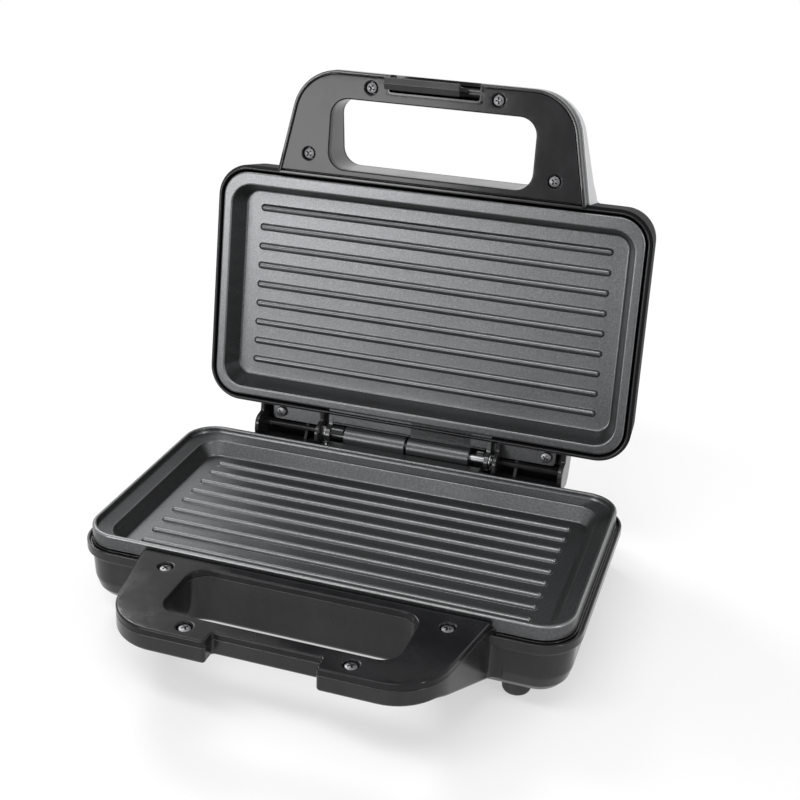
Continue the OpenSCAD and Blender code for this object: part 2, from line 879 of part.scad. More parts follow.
// Side view of an ear: a lobe round the hinge axis whose square back corner lands on the stop.
module ear_side() {
    translate([hinge_y, hinge_z]) circle(ear_r);
    polygon([
        [lid_back - wall / 2, lid_rim_z], [hinge_y, lid_rim_z], [hinge_y, hinge_z],
        [hinge_y + ear_r, hinge_z], [hinge_y + ear_r, hinge_z + ear_r],
        [hinge_y + ear_r - 3.5, hinge_z + ear_r + 3.5], [lid_back - wall / 2, ear_roof + 3]
    ]);
}

// Side view of the hollow in an ear, open underneath.
module ear_side_inside() {
    polygon([
        [lid_back, hinge_z - ear_r - 1], [hinge_y + ear_r - ear_wall, hinge_z - ear_r - 1],
        [hinge_y + ear_r - ear_wall, hinge_z + ear_r - 1],
        [hinge_y + ear_r - 4.5, hinge_z + ear_r + 1.2], [lid_back, ear_roof]
    ]);
}

// Both ears, hollow, each with two thin ribs and a boss for its screw.
module ears() {
    for (side = [-1, 1]) mirror([side < 0 ? 1 : 0, 0, 0]) {
        difference() {
            across(ear_in, ear_out) ear_side();
            across(ear_in + ear_wall, ear_out - ear_wall) ear_side_inside();
        }
        intersection() {
            across(ear_in, ear_out) ear_side();
            union() {
                translate([ear_in + 10, lid_back - 1, tab_low]) cube([1.6, 20, 40]);
                translate([ear_in + 1, ear_screw_y + 5.5, tab_low]) cube([ear_out - ear_in - 2, 1.6, 40]);
                translate([ear_screw_x, ear_screw_y, arm_z + arm_t]) cylinder(h = 20, d = boss_d);
            }
        }
    }
}

// What the lid plate's hinge parts need cut out of the lid's shell.
module hinge_clearance() {
    gap = 0.4;
    y0 = lid_back - 2 * wall;
    translate([-lug_in, y0, lid_rim_z - 1])
        cube([2 * lug_in, 2 * wall + 1, tab_high - lid_rim_z + 1 + gap]);
    for (side = [-1, 1]) mirror([side < 0 ? 1 : 0, 0, 0]) {
        translate([lug_in - gap, y0, lid_rim_z - 1])
            cube([lug_t + 2 * gap, 2 * wall + 1, arm_z + arm_t - lid_rim_z + 1 + gap]);
        translate([lug_in, y0, arm_z - gap])
            cube([arm_out + gap - lug_in, ear_screw_y + arm_margin + gap - y0, arm_t + gap]);
    }
}

module lid_casing() {
    color("#1d1e20") in_lid() difference() {
        union() {
            difference() {
                union() {
                    shell_outside();
                    upper_handle(0, 0, upper_face_z, upper_root_y);
                    upper_handle(0, 0, lid_rim_z + wall, lid_front + wall);
                }
                shell_inside();
                upper_handle_inside();
                between(upper_face_z - 1, upper_seat_z) difference() {
                    handle_outline(upper_rim);
                    translate([-reach / 2, upper_root_y]) square([reach, reach]);
                }
            }
            ears();
            at_plate_screws() {
                between(lid_rim_z + reflector_drop + reflector_t, lid_top_z - 1) circle(d = shoulder_d);
                between(lid_boss_seat_z, lid_top_z - 1) circle(d = post_d);
            }
            both_sides([[board_post_x, lens_y]]) between(lid_top_z - lamp_drop, lid_top_z - 1)
                circle(d = 5);
        }
        between(upper_face_z - 1, lid_top_z) grip_outline();
        latch_slot();
        hinge_clearance();
        translate([0, latch_y, latch_z])
            bar_x(-slot_w / 2 - wall, slot_w / 2 + wall, latch_pin_d + 2 * running);
        both_sides(upper_screws)
            between(upper_face_z, upper_seat_z + cover_grip + tip_room) circle(d = screw_d);
        both_sides([[ear_screw_x, ear_screw_y]])
            between(arm_z, arm_z + arm_t + ear_grip + tip_room) circle(d = screw_d);
        at_plate_screws() {
            between(lid_rim_z, lid_top_z + 1) circle(d = screw_d);
            between(lid_head_z, lid_top_z + 1) circle(d = screw_head_d + 2 * head_clear);
        }
        both_sides([[lens_x, lens_y]]) between(lid_top_z - 2 * wall, lid_top_z + 1)
            circle(d = lens_d + 2 * running);
    }
}

// One bent steel sheet: the flat top, a strip over the front turn, and a cap over the handle.
module lid_steel_panel() {
    w = handle_root_w - 4;
    color("#b9bbbd") in_lid() difference() {
        union() {
            translate([0, lid_y, 0]) between(lid_top_z, skin_top_z)
                rounded_rect(lid_w - 2 * skin_inset, lid_d - 2 * skin_inset, lid_corner - 6);
            difference() {
                across(-w / 2, w / 2) polygon([
                    [lid_front + 1.7 - skin_t, lid_top_z - 12], [lid_front + 3.2 - skin_t, lid_top_z - 6 + 0.4],
                    [lid_front + 6.2 - 0.8 * skin_t, lid_top_z - 2.4 + 0.8 * skin_t],
                    [lid_front + top_turn - 0.3 * skin_t, skin_top_z], [lid_front + skin_inset + 1, skin_top_z],
                    [lid_front + skin_inset + 1, lid_top_z - 12]
                ]);
                shell_outside();
                shell_inside();
                upper_handle(0, 0, lid_rim_z + wall, lid_front + wall);
            }
            difference() {
                upper_handle(-skin_side, skin_t, skin_low, lid_front + 3);
                upper_handle(-side_gap, 0, skin_low - 1, lid_front + wall);
                shell_outside();
                shell_inside();
            }
        }
        between(upper_face_z, lid_top_z) grip_outline();
        latch_slot();
        both_sides([[lens_x, lens_y]]) between(lid_top_z - 1, skin_top_z + 1)
            circle(d = lens_d + 2 * running);
    }
}

module lid_plate() {
    y0 = lid_y + lid_plate_d / 2 - 1;
    color("#3a3b3d") in_lid() difference() {
        union() {
            translate([0, 0, lid_rim_z]) mirror([0, 0, 1])
                plate_shape(lid_plate_w, lid_plate_d, lid_plate_corner, lid_y);
            barrel(barrel_gap, barrel_gap + barrel_len);
            across(barrel_gap, barrel_gap + barrel_len) polygon([
                [y0, tab_low], [hinge_y, tab_low], [hinge_y, hinge_z + barrel_d / 2 - 0.5],
                [hinge_y - 3, tab_high], [y0, tab_high]
            ]);
            translate([-lug_in, y0, tab_low])
                cube([2 * lug_in, flange_back - y0, tab_high - tab_low]);
            for (side = [-1, 1]) mirror([side < 0 ? 1 : 0, 0, 0]) {
                across(lug_in, lug_in + lug_t) {
                    translate([hinge_y, hinge_z]) circle(lug_r);
                    polygon([
                        [y0, tab_low], [hinge_y - 3, hinge_z - lug_r + 1.2], [hinge_y, hinge_z],
                        [hinge_y, hinge_z + lug_r], [ear_screw_y, arm_z + arm_t], [y0, arm_z + arm_t]
                    ]);
                }
                translate([lug_in, y0, arm_z])
                    cube([arm_out - lug_in, ear_screw_y + arm_margin - y0, arm_t]);
            }
        }
        pin_bore();
        both_sides([[ear_screw_x, ear_screw_y]]) between(arm_z - 1, arm_z + arm_t + 1) circle(d = screw_d);
    }
}

module lid_element() {
    color("#8c8a84") in_lid() translate([0, 0, lid_rim_z + element_drop]) element_shape();
}

module lid_reflector() {
    color("#c9cacb") in_lid() translate([0, 0, lid_rim_z + reflector_drop]) mirror([0, 0, 1])
        reflector_shape();
}

module lid_handle_cover() {
    color("#101113") in_lid() difference() {
        between(upper_face_z, upper_seat_z) difference() {
            handle_outline(upper_rim + side_gap);
            grip_outline();
            front_strip(slot_w, slot_depth);
            translate([-reach / 2, upper_root_y - side_gap]) square([reach, reach]);
        }
        both_sides(upper_screws) {
            between(upper_face_z - 1, upper_seat_z + 1) circle(d = screw_d);
            between(upper_face_z - 1, upper_face_z + head_h) circle(d = screw_head_d + 2 * head_clear);
        }
    }
}

module lid_handle_screws() {
    color("#55565a") in_lid() both_sides(upper_screws)
        translate([0, 0, upper_face_z + head_h]) screw_up(cover_t - head_h + cover_grip);
}

module lid_plate_screws() {
    color("#8a8b8e") in_lid() at_plate_screws()
        translate([0, 0, lid_head_z]) screw(lid_head_z - lid_boss_seat_z + plate_grip);
}

module lid_ear_screws() {
    color("#8a8b8e") in_lid() both_sides([[ear_screw_x, ear_screw_y]])
        translate([0, 0, arm_z]) screw_up(arm_t + ear_grip);
}

// A clear lens: a low dome on a lip, with a stem that goes through the panel and the shell.
module lens(x) {
    in_lid() translate([x, lens_y, 0]) {
        between(lid_top_z - wall, skin_top_z) circle(d = lens_d);
        translate([0, 0, skin_top_z]) rotate_extrude() intersection() {
            translate([0, -lens_d]) circle(r = lens_d + 2);
            square([lens_d / 2 + lens_lip, 4]);
        }
    }
}

module power_lens() { color("#b5382c") lens(-lens_x); }
module ready_lens() { color("#3f8f4a") lens(lens_x); }

// The small board under the lenses, with a lamp for each of them.
module lamp_board() {
    top = lid_top_z - lamp_drop;
    color("#2f6b45") in_lid() {
        translate([0, lens_y, top - board_t / 2]) cube([board_w, board_d, board_t], center = true);
        both_sides([[lens_x, lens_y]]) {
            between(top, lid_top_z - wall - lamp_d / 2 - seat_gap) circle(d = lamp_d);
            translate([0, 0, lid_top_z - wall - lamp_d / 2 - seat_gap]) sphere(d = lamp_d);
        }
    }
}

// ---- latch ----

// The latch as it sits when hooked: a barrel, a plate that hangs from it, a barb and a finger lip.
module latch_shape() {
    tip = latch_back + hook_reach;
    front = latch_back - latch_t;
    difference() {
        union() {
            across(latch_x - latch_w / 2, latch_x + latch_w / 2) polygon([
                [latch_back, latch_z], [latch_back, hook_z], [tip, hook_z], [tip, hook_z - 0.7],
                [latch_back, hook_z - hook_h], [front - 1, hook_z - hook_h],
                [front - 1, hook_z - hook_h + 1.4], [front, hook_z - hook_h + 2.4], [front, latch_z]
            ]);
            translate([0, latch_y, latch_z])
                bar_x(-slot_w / 2 + seat_gap, slot_w / 2 - seat_gap, latch_barrel);
            translate([latch_x, front, hook_z + 7]) cube([latch_w / 1.6, 1.2, 1], center = true);
        }
        translate([0, latch_y, latch_z]) bar_x(-slot_w, slot_w, latch_pin_d + 2 * running);
    }
}

module latch() {
    color("#232426") in_lid() translate([0, latch_y, latch_z]) rotate([-latch_turn, 0, 0])
        translate([0, -latch_y, -latch_z]) latch_shape();
}

module latch_pin() {
    color("#c4c6c8") in_lid() translate([0, latch_y, latch_z])
        bar_x(-slot_w / 2 - wall + seat_gap, slot_w / 2 + wall - seat_gap, latch_pin_d);
}

base_casing();
base_plate();
base_element();
base_reflector();
base_handle_cover();
base_handle_screws();
base_plate_screws();
thermostat();
thermal_fuse();
terminal_block();
cord_gland();
foot_front_left();
foot_front_right();
foot_rear_left();
foot_rear_right();
hinge_pin();
pin_rings();
lid_casing();
lid_steel_panel();
lid_plate();
lid_element();
lid_reflector();
lid_handle_cover();
lid_handle_screws();
lid_plate_screws();
lid_ear_screws();
power_lens();
ready_lens();
lamp_board();
latch();
latch_pin();
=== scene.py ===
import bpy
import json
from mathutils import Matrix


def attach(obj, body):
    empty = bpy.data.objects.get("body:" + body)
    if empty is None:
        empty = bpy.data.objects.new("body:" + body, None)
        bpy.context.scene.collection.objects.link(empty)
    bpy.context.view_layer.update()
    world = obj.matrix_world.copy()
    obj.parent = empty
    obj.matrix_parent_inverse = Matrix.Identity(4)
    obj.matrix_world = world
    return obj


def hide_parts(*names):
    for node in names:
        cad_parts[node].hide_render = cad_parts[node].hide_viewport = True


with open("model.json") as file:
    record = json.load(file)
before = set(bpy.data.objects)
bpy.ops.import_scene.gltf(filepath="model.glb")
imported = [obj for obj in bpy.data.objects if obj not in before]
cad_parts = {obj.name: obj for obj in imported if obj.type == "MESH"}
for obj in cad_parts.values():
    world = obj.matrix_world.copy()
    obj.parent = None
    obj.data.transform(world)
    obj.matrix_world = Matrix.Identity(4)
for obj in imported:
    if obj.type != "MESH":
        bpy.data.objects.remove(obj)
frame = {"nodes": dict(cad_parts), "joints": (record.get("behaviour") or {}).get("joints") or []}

"""The looks of a two-slice grill sandwich toaster that stands open.

Sizes are in millimetres in the frame of the closed toaster: Y is 0 at the middle of the
cooking plates and Z is 0 on the ground. A placement turns them into metres in the frame
of the solids, and swings open what belongs to the lid.
"""

import json
import logging
import math
from dataclasses import dataclass
from enum import Enum
from typing import Callable, Sequence

import bmesh
import bpy
import numpy as np
from mathutils import Matrix, Vector
from mathutils.geometry import delaunay_2d_cdt

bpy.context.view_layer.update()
LOG = logging.getLogger("toaster")
Array = np.ndarray
Height = Callable[[Array], Array] | float
Socket = bpy.types.NodeSocket
Material = bpy.types.Material

MM = 0.001
HINGE_Y = 73.3
HINGE_Z = 48.0
OPEN_DEG = 98.0
ORIGIN_Y = frame["joints"][0]["pos_m"][1] / MM - HINGE_Y
ALONG_X = (2, 0, 1)
ALONG_Y = (0, 2, 1)


# ---- placements


def in_base(points: Array) -> Array:
    """Points of the base in metres: they shift along Y by the frame's origin."""
    return (points + np.array([0.0, ORIGIN_Y, 0.0])) * MM


def swing(points: Array, pivot: tuple, degrees: float) -> Array:
    """Points turned about a line along X through the pivot (y0, z0).

    y' = y0 + (y - y0) cos a + (z - z0) sin a and z' = z0 - (y - y0) sin a + (z - z0) cos a.

    Args:
        points: the points.
        pivot: where the line lies.
        degrees: the angle a.

    Returns:
        The turned points.
    """
    angle = math.radians(degrees)
    y, z = points[..., 1] - pivot[0], points[..., 2] - pivot[1]
    out = points.copy()
    out[..., 1] = pivot[0] + y * math.cos(angle) + z * math.sin(angle)
    out[..., 2] = pivot[1] - y * math.sin(angle) + z * math.cos(angle)
    return out


def in_lid(points: Array) -> Array:
    """Points of the closed lid in metres, swung open."""
    return in_base(swing(points, (HINGE_Y, HINGE_Z), OPEN_DEG))


def new_object(name: str, data: bpy.types.ID) -> bpy.types.Object:
    """A new object in the scene, at the origin."""
    obj = bpy.data.objects.new(name, data)
    bpy.context.scene.collection.objects.link(obj)
    return obj


# ---- flat outlines


def unit(vectors: Array) -> Array:
    """The vectors divided by their lengths."""
    return vectors / np.maximum(np.linalg.norm(vectors, axis=-1, keepdims=True), 1e-12)


def rounded_polygon(corners: Sequence[tuple], steps: int = 8) -> Array:
    """A closed outline from corners (x, y, radius), each turned into an arc.

    Each arc's centre lies on the corner's bisector, r / sin(half angle) from the corner.

    Args:
        corners: the corners in order, each with the radius of its arc.
        steps: the number of steps in an arc.

    Returns:
        The outline's points, one row each.
    """
    data = np.array(corners, float)
    place, radius = data[:, :2], data[:, 2]
    before, after = unit(np.roll(place, 1, 0) - place), unit(np.roll(place, -1, 0) - place)
    half = 0.5 * np.arccos(np.clip((before * after).sum(1), -1, 1))
    arcs = []
    for p, r, a, b, h in zip(place, radius, before, after, half):
        if r <= 0 or h > math.pi / 2 - 1e-4:
            arcs.append(p[None])
            continue
        centre = p + unit(a + b) * r / math.sin(h)
        start, end = p + a * r / math.tan(h) - centre, p + b * r / math.tan(h) - centre
        first = math.atan2(start[1], start[0])
        turn = math.atan2(end[1], end[0]) - first
        turn = (turn + math.pi) % (2 * math.pi) - math.pi
        angle = first + turn * np.linspace(0, 1, steps + 1)
        arcs.append(centre + r * np.stack([np.cos(angle), np.sin(angle)], 1))
    return np.concatenate(arcs)


def box_corners(x0: float, y0: float, x1: float, y1: float, *radii: float) -> list[tuple]:
    """A rectangle's corners, anticlockwise from (x0, y0), each with its radius."""
    places = ((x0, y0), (x1, y0), (x1, y1), (x0, y1))
    return [(*place, r) for place, r in zip(places, radii)]


def rounded_box(w: float, d: float, r: float, y: float = 0.0, steps: int = 10) -> Array:
    """A rectangle with round corners, anticlockwise, w wide and d deep round (0, y)."""
    a, b = w / 2, d / 2
    return rounded_polygon(box_corners(-a, y - b, a, y + b, r, r, r, r), steps)


def circle(x: float, y: float, r: float, count: int = 40) -> Array:
    """An anticlockwise circle."""
    angle = np.linspace(0, 2 * math.pi, count, endpoint=False)
    return np.stack([x + r * np.cos(angle), y + r * np.sin(angle)], 1)


def cross(x: float, y: float, arm: float, half: float) -> Array:
    """An anticlockwise plus sign with round tips, for the recess of a screw's head."""
    pts = [(arm, -half), (arm, half), (half, half), (half, arm), (-half, arm), (-half, half)]
    pts += [(-a, -b) for a, b in pts]
    radii = [half * 0.6 if max(abs(a), abs(b)) > half * 1.1 else half * 0.3 for a, b in pts]
    return rounded_polygon([(x + a, y + b, r) for (a, b), r in zip(pts, radii)], 3)


def denser(loop: Array, spacing: float) -> Array:
    """The same closed outline with points no further apart than the spacing."""
    step = np.roll(loop, -1, 0) - loop
    count = np.maximum(1, np.ceil(np.linalg.norm(step, axis=1) / spacing)).astype(int)
    start = np.repeat(np.arange(len(loop)), count)
    along = (np.arange(count.sum()) - np.repeat(np.cumsum(count) - count, count)) / count[start]
    return loop[start] + step[start] * along[:, None]


def inset_rows(loop: Array, insets: Array) -> Array:
    """Copies of a closed outline moved to its left by each inset, with mitred corners.

    A point moves along the sum of its two edges' normals, divided by 1 + their product.

    Args:
        loop: the outline, with the material on its left.
        insets: one distance for each copy.

    Returns:
        An array of copies x points x 2.
    """
    edge = unit(np.roll(loop, -1, 0) - loop)
    normal = np.stack([-edge[:, 1], edge[:, 0]], 1)
    before = np.roll(normal, 1, 0)
    mitre = (normal + before) / np.maximum(1 + (normal * before).sum(1), 0.3)[:, None]
    return loop[None] + np.asarray(insets)[:, None, None] * mitre[None]


def inside(loops: Sequence[Array], points: Array) -> Array:
    """Which points a ray along X leaves through an odd number of the outlines' edges."""
    odd = np.zeros(len(points), bool)
    x, y = points[:, :1], points[:, 1:]
    for loop in loops:
        a, b = loop, np.roll(loop, -1, 0)
        spans = (a[:, 1] > y) != (b[:, 1] > y)
        rise = np.where(b[:, 1] == a[:, 1], 1.0, b[:, 1] - a[:, 1])
        meet = a[:, 0] + (y - a[:, 1]) * (b[:, 0] - a[:, 0]) / rise
        odd ^= (spans & (x < meet)).sum(1) % 2 == 1
    return odd


def height(level: Height, xy: Array) -> Array:
    """A height at each point, from a number or from a function of the points."""
    return level(xy) if callable(level) else np.full(xy.shape[:-1], float(level))


def lift(xy: Array, z: Array | float) -> Array:
    """Flat points given their heights."""
    z = np.broadcast_to(np.asarray(z, float), xy.shape[:-1])
    return np.concatenate([xy, z[..., None]], -1)


def ring(size: tuple, inset: float, z: float) -> Array:
    """A casing's outline at an inset and a height.

    Args:
        size: its width, depth and corner radius, and its middle along Y.
        inset: how far the sides are moved inwards.
        z: the height.

    Returns:
        The outline's points.
    """
    w, d, r, y = size
    return lift(rounded_box(w - 2 * inset, d - 2 * inset, max(r - inset, 2), y, 14), z)


def quarter(steps: int) -> Array:
    """The angles of a quarter turn, in equal steps."""
    return np.linspace(0, math.pi / 2, steps + 1)


def rounds(low: float, high: float, steps: int) -> tuple[Array, Array, Array]:
    """The rows up a plate's edge, which ends in two quarter circles.

    A row is inset by r (1 - cos a) and lies r (1 - sin a) from its face.

    Args:
        low, high: the radii at the lower and the upper face.
        steps: the number of steps in each round.

    Returns:
        The rows' insets, their heights from their own faces, and which belong to the lower one.
    """
    s, c = np.sin(quarter(steps)), np.cos(quarter(steps))
    inset = np.concatenate([low * (1 - s), high * (1 - c)])
    up = np.concatenate([low * (1 - c), -high * (1 - s)])
    return inset, up, np.arange(len(inset)) <= steps


# ---- surfaces


class Shell:
    """A surface gathered from grids and filled outlines, later made one mesh."""

    def __init__(self) -> None:
        """Starts empty."""
        self.points: list[Array] = []
        self.faces: list[tuple] = []
        self.count = 0

    def add(self, points: Array, faces: list[tuple]) -> None:
        """Adds points and the faces on them."""
        self.points.append(points.reshape(-1, 3))
        self.faces += [tuple(i + self.count for i in face) for face in faces]
        self.count += len(self.points[-1])

    def grid(self, rows: Array) -> "Shell":
        """Quads between neighbouring closed rows, given as an array of rows x points x 3."""
        r, n = rows.shape[:2]
        index = np.arange(r * n).reshape(r, n)
        right = np.roll(index, -1, 1)
        quads = np.stack([index[:-1], right[:-1], right[1:], index[1:]], -1)
        self.add(rows, [tuple(q) for q in quads.reshape(-1, 4).tolist()])
        return self

    def fill(self, loops: Sequence[Array], z: Height, spacing: float = 0.0) -> "Shell":
        """Triangles over the region inside the first outline and outside the others.

        Args:
            loops: the outlines.
            z: the height over the region.
            spacing: distance between added inner points, or 0 for none.

        Returns:
            The shell itself.
        """
        edges, start = [], 0
        for loop in loops:
            n = len(loop)
            edges += [(start + i, start + (i + 1) % n) for i in range(n)]
            start += n
        flat = np.concatenate(loops)
        if spacing:
            low, high = flat.min(0), flat.max(0)
            axes = [np.arange(low[k] + spacing / 2, high[k], spacing) for k in (0, 1)]
            flat = np.concatenate([flat, np.stack(np.meshgrid(*axes), -1).reshape(-1, 2)])
        found = delaunay_2d_cdt([Vector(p) for p in flat.tolist()], edges, [], 0, 1e-4)
        xy = np.array([tuple(p) for p in found[0]])
        faces = np.array([tuple(f) for f in found[2]])
        faces = faces[inside(loops, xy[faces].mean(1))]
        self.add(lift(xy, height(z, xy)), [tuple(f) for f in faces.tolist()])
        return self

    def slab(self, loops: Sequence[Array], low: Height, high: Height, round_low: float = 0.4,
             round_high: float = 0.8, steps: int = 4, spacing: float = 0.0) -> "Shell":
        """A plate with rounded edges: an outline, and holes, drawn from one height to another.

        Args:
            loops: the outer outline anticlockwise and the holes clockwise.
            low, high: heights of the two faces, as numbers or functions of the place.
            round_low, round_high: radii of the lower and upper edges.
            steps: steps in an edge's round.
            spacing: distance between added points inside the faces, or 0 for none.

        Returns:
            The shell itself.
        """
        inset, up, lower = rounds(round_low, round_high, steps)
        ends = [[], []]
        for loop in loops:
            rows = inset_rows(loop, inset)
            z = np.where(lower[:, None], height(low, rows), height(high, rows)) + up[:, None]
            self.grid(lift(rows, z))
            ends[0].append(rows[0])
            ends[1].append(rows[-1])
        self.fill(ends[0], low, spacing)
        self.fill(ends[1], high, spacing)
        return self

    def capped(self, rows: Sequence[Array]) -> "Shell":
        """Rows joined one to the next, with the last one filled."""
        self.grid(np.stack(rows))
        return self.fill([rows[-1][:, :2]], rows[-1][0, 2])

    def turned(self, profile: Array, count: int = 48) -> "Shell":
        """A profile of (radius, z) turned about Z, with its ends on the axis or on each other."""
        angle = np.linspace(0, 2 * math.pi, count, endpoint=False)
        r, z = profile[:, :1], profile[:, 1:]
        rows = np.stack([r * np.cos(angle), r * np.sin(angle), z + 0 * angle], -1)
        return self.grid(rows)

    def moved(self, change: Callable[[Array], Array]) -> "Shell":
        """The same surface with its points changed."""
        out = Shell()
        out.add(change(np.concatenate(self.points)), self.faces)
        return out

    def placed(self, shift: tuple, order: tuple = (0, 1, 2)) -> "Shell":
        """The same surface with its axes put in another order and then moved."""
        return self.moved(lambda p: p[:, list(order)] + np.array(shift, float))

    def join(self, *others: "Shell") -> "Shell":
        """This surface with others added to it."""
        for other in others:
            self.add(np.concatenate(other.points), other.faces)
        return self

    def mesh(self, name: str) -> bpy.types.Mesh:
        """The surface as a Blender mesh, with doubles merged and its faces turned outwards."""
        mesh = bpy.data.meshes.new(name)
        mesh.from_pydata(np.concatenate(self.points).tolist(), [], self.faces)
        work = bmesh.new()
        work.from_mesh(mesh)
        bmesh.ops.remove_doubles(work, verts=work.verts, dist=2e-6 if self.metres() else 2e-3)
        bmesh.ops.dissolve_degenerate(work, edges=work.edges, dist=1e-7)
        bmesh.ops.recalc_face_normals(work, faces=work.faces)
        work.to_mesh(mesh)
        work.free()
        return mesh

    def metres(self) -> bool:
        """Whether the points are already placed in metres."""
        return max(np.abs(p).max() for p in self.points) < 1.0

    def carved(self, *cutters: "Shell") -> "Shell":
        """This closed surface with closed cutters taken out of it."""
        body = new_object("carve_body", self.mesh("carve_body"))
        spare = [body]
        for cutter in cutters:
            tool = new_object("carve_tool", cutter.mesh("carve_tool"))
            spare.append(tool)
            cut = body.modifiers.new("cut", "BOOLEAN")
            cut.operation, cut.solver, cut.object = "DIFFERENCE", "EXACT", tool
        graph = bpy.context.evaluated_depsgraph_get()
        done = bpy.data.meshes.new_from_object(body.evaluated_get(graph))
        co = np.zeros(len(done.vertices) * 3)
        done.vertices.foreach_get("co", co)
        out = Shell()
        out.add(co.reshape(-1, 3), [tuple(p.vertices) for p in done.polygons])
        for obj in spare:
            bpy.data.objects.remove(obj)
        return out


def along_x(profile: Sequence[Array], x0: float, x1: float, edge: float = 0.4) -> Shell:
    """A side view in (y, z) drawn out along X from x0 to x1, with rounded ends."""
    return Shell().slab(profile, x0, x1, edge, edge, 3).placed((0, 0, 0), ALONG_X)


def rail(corners: Sequence[tuple], x0: float, x1: float, edge: float = 0.4, steps: int = 3,
         spacing: float = 1000.0) -> Shell:
    """A side view drawn out along X, from its corners.

    Args:
        corners: the corners (y, z, radius), anticlockwise.
        x0, x1: where it starts and ends.
        edge: radius of the rounds at its ends.
        steps: steps in a corner's arc.
        spacing: the longest step along the outline.

    Returns:
        The surface.
    """
    return along_x([denser(rounded_polygon(corners, steps), spacing)], x0, x1, edge)


def bar_x(x0: float, x1: float, r: float, y: float, z: float, edge: float = 0.5,
          inner: float = 0.0) -> Shell:
    """A round bar or tube along X with rounded ends, turned from its profile.

    Args:
        x0, x1: where it starts and ends.
        r: its radius.
        y, z: where its axis lies.
        edge: radius of the rounds at its ends.
        inner: radius of its bore, or 0 for a solid bar.

    Returns:
        The surface.
    """
    turn = quarter(3 if inner else 4)
    s, c = np.sin(turn), np.cos(turn)
    radius = np.concatenate([[inner], r - edge + edge * s, r - edge + edge * c, [inner]])
    along = np.concatenate([[x0], x0 + edge * (1 - c), x1 - edge * (1 - s), [x1]])
    profile = np.stack([radius, along], 1)
    if inner:
        profile = np.concatenate([profile, profile[:1]])
    return Shell().turned(profile, 64 if inner else 48).placed((0, y, z), ALONG_X)


def mirrored(shell: Shell, side: int) -> Shell:
    """The surface, on the side asked for."""
    return shell.moved(lambda p: p * np.array([side, 1.0, 1.0]))


def both(shell: Shell) -> Shell:
    """The surface's mirror image and the surface, together."""
    return mirrored(shell, -1).join(mirrored(shell, 1))


# ---- shader maths


def math_method(operation: str, swapped: bool = False) -> Callable:
    """Makes a method of Value that adds one Math node.

    Args:
        operation: the node's operation.
        swapped: whether the other term stands first.

    Returns:
        The method.
    """
    def method(self: "Value", other: "Value | float") -> "Value":
        """The operation on this value and another term."""
        return self.math(operation, *((other, self) if swapped else (self, other)))

    return method


class Value:
    """A number that varies over a surface; arithmetic on it adds Math nodes."""

    def __init__(self, shader: "Shader", socket: Socket) -> None:
        """Wraps an output socket of a shader."""
        self.shader, self.socket = shader, socket

    def math(self, operation: str, *terms: "Value | float") -> "Value":
        """One Math node on the terms."""
        values = dict(enumerate(terms))
        node = self.shader.node("ShaderNodeMath", {"operation": operation}, values)
        return Value(self.shader, node.outputs[0])

    __add__ = __radd__ = math_method("ADD")
    __rsub__ = math_method("SUBTRACT", swapped=True)
    __mul__ = math_method("MULTIPLY")
    __pow__ = math_method("POWER")

    def wave(self) -> "Value":
        """The sine."""
        return self.math("SINE", self)

    def step(self, low: float, high: float) -> "Value":
        """0 up to low, 1 from high on, and smooth between them."""
        settings = {"interpolation_type": "SMOOTHSTEP"}
        values = {"Value": self, "From Min": low, "From Max": high}
        node = self.shader.node("ShaderNodeMapRange", settings, values)
        return Value(self.shader, node.outputs["Result"])


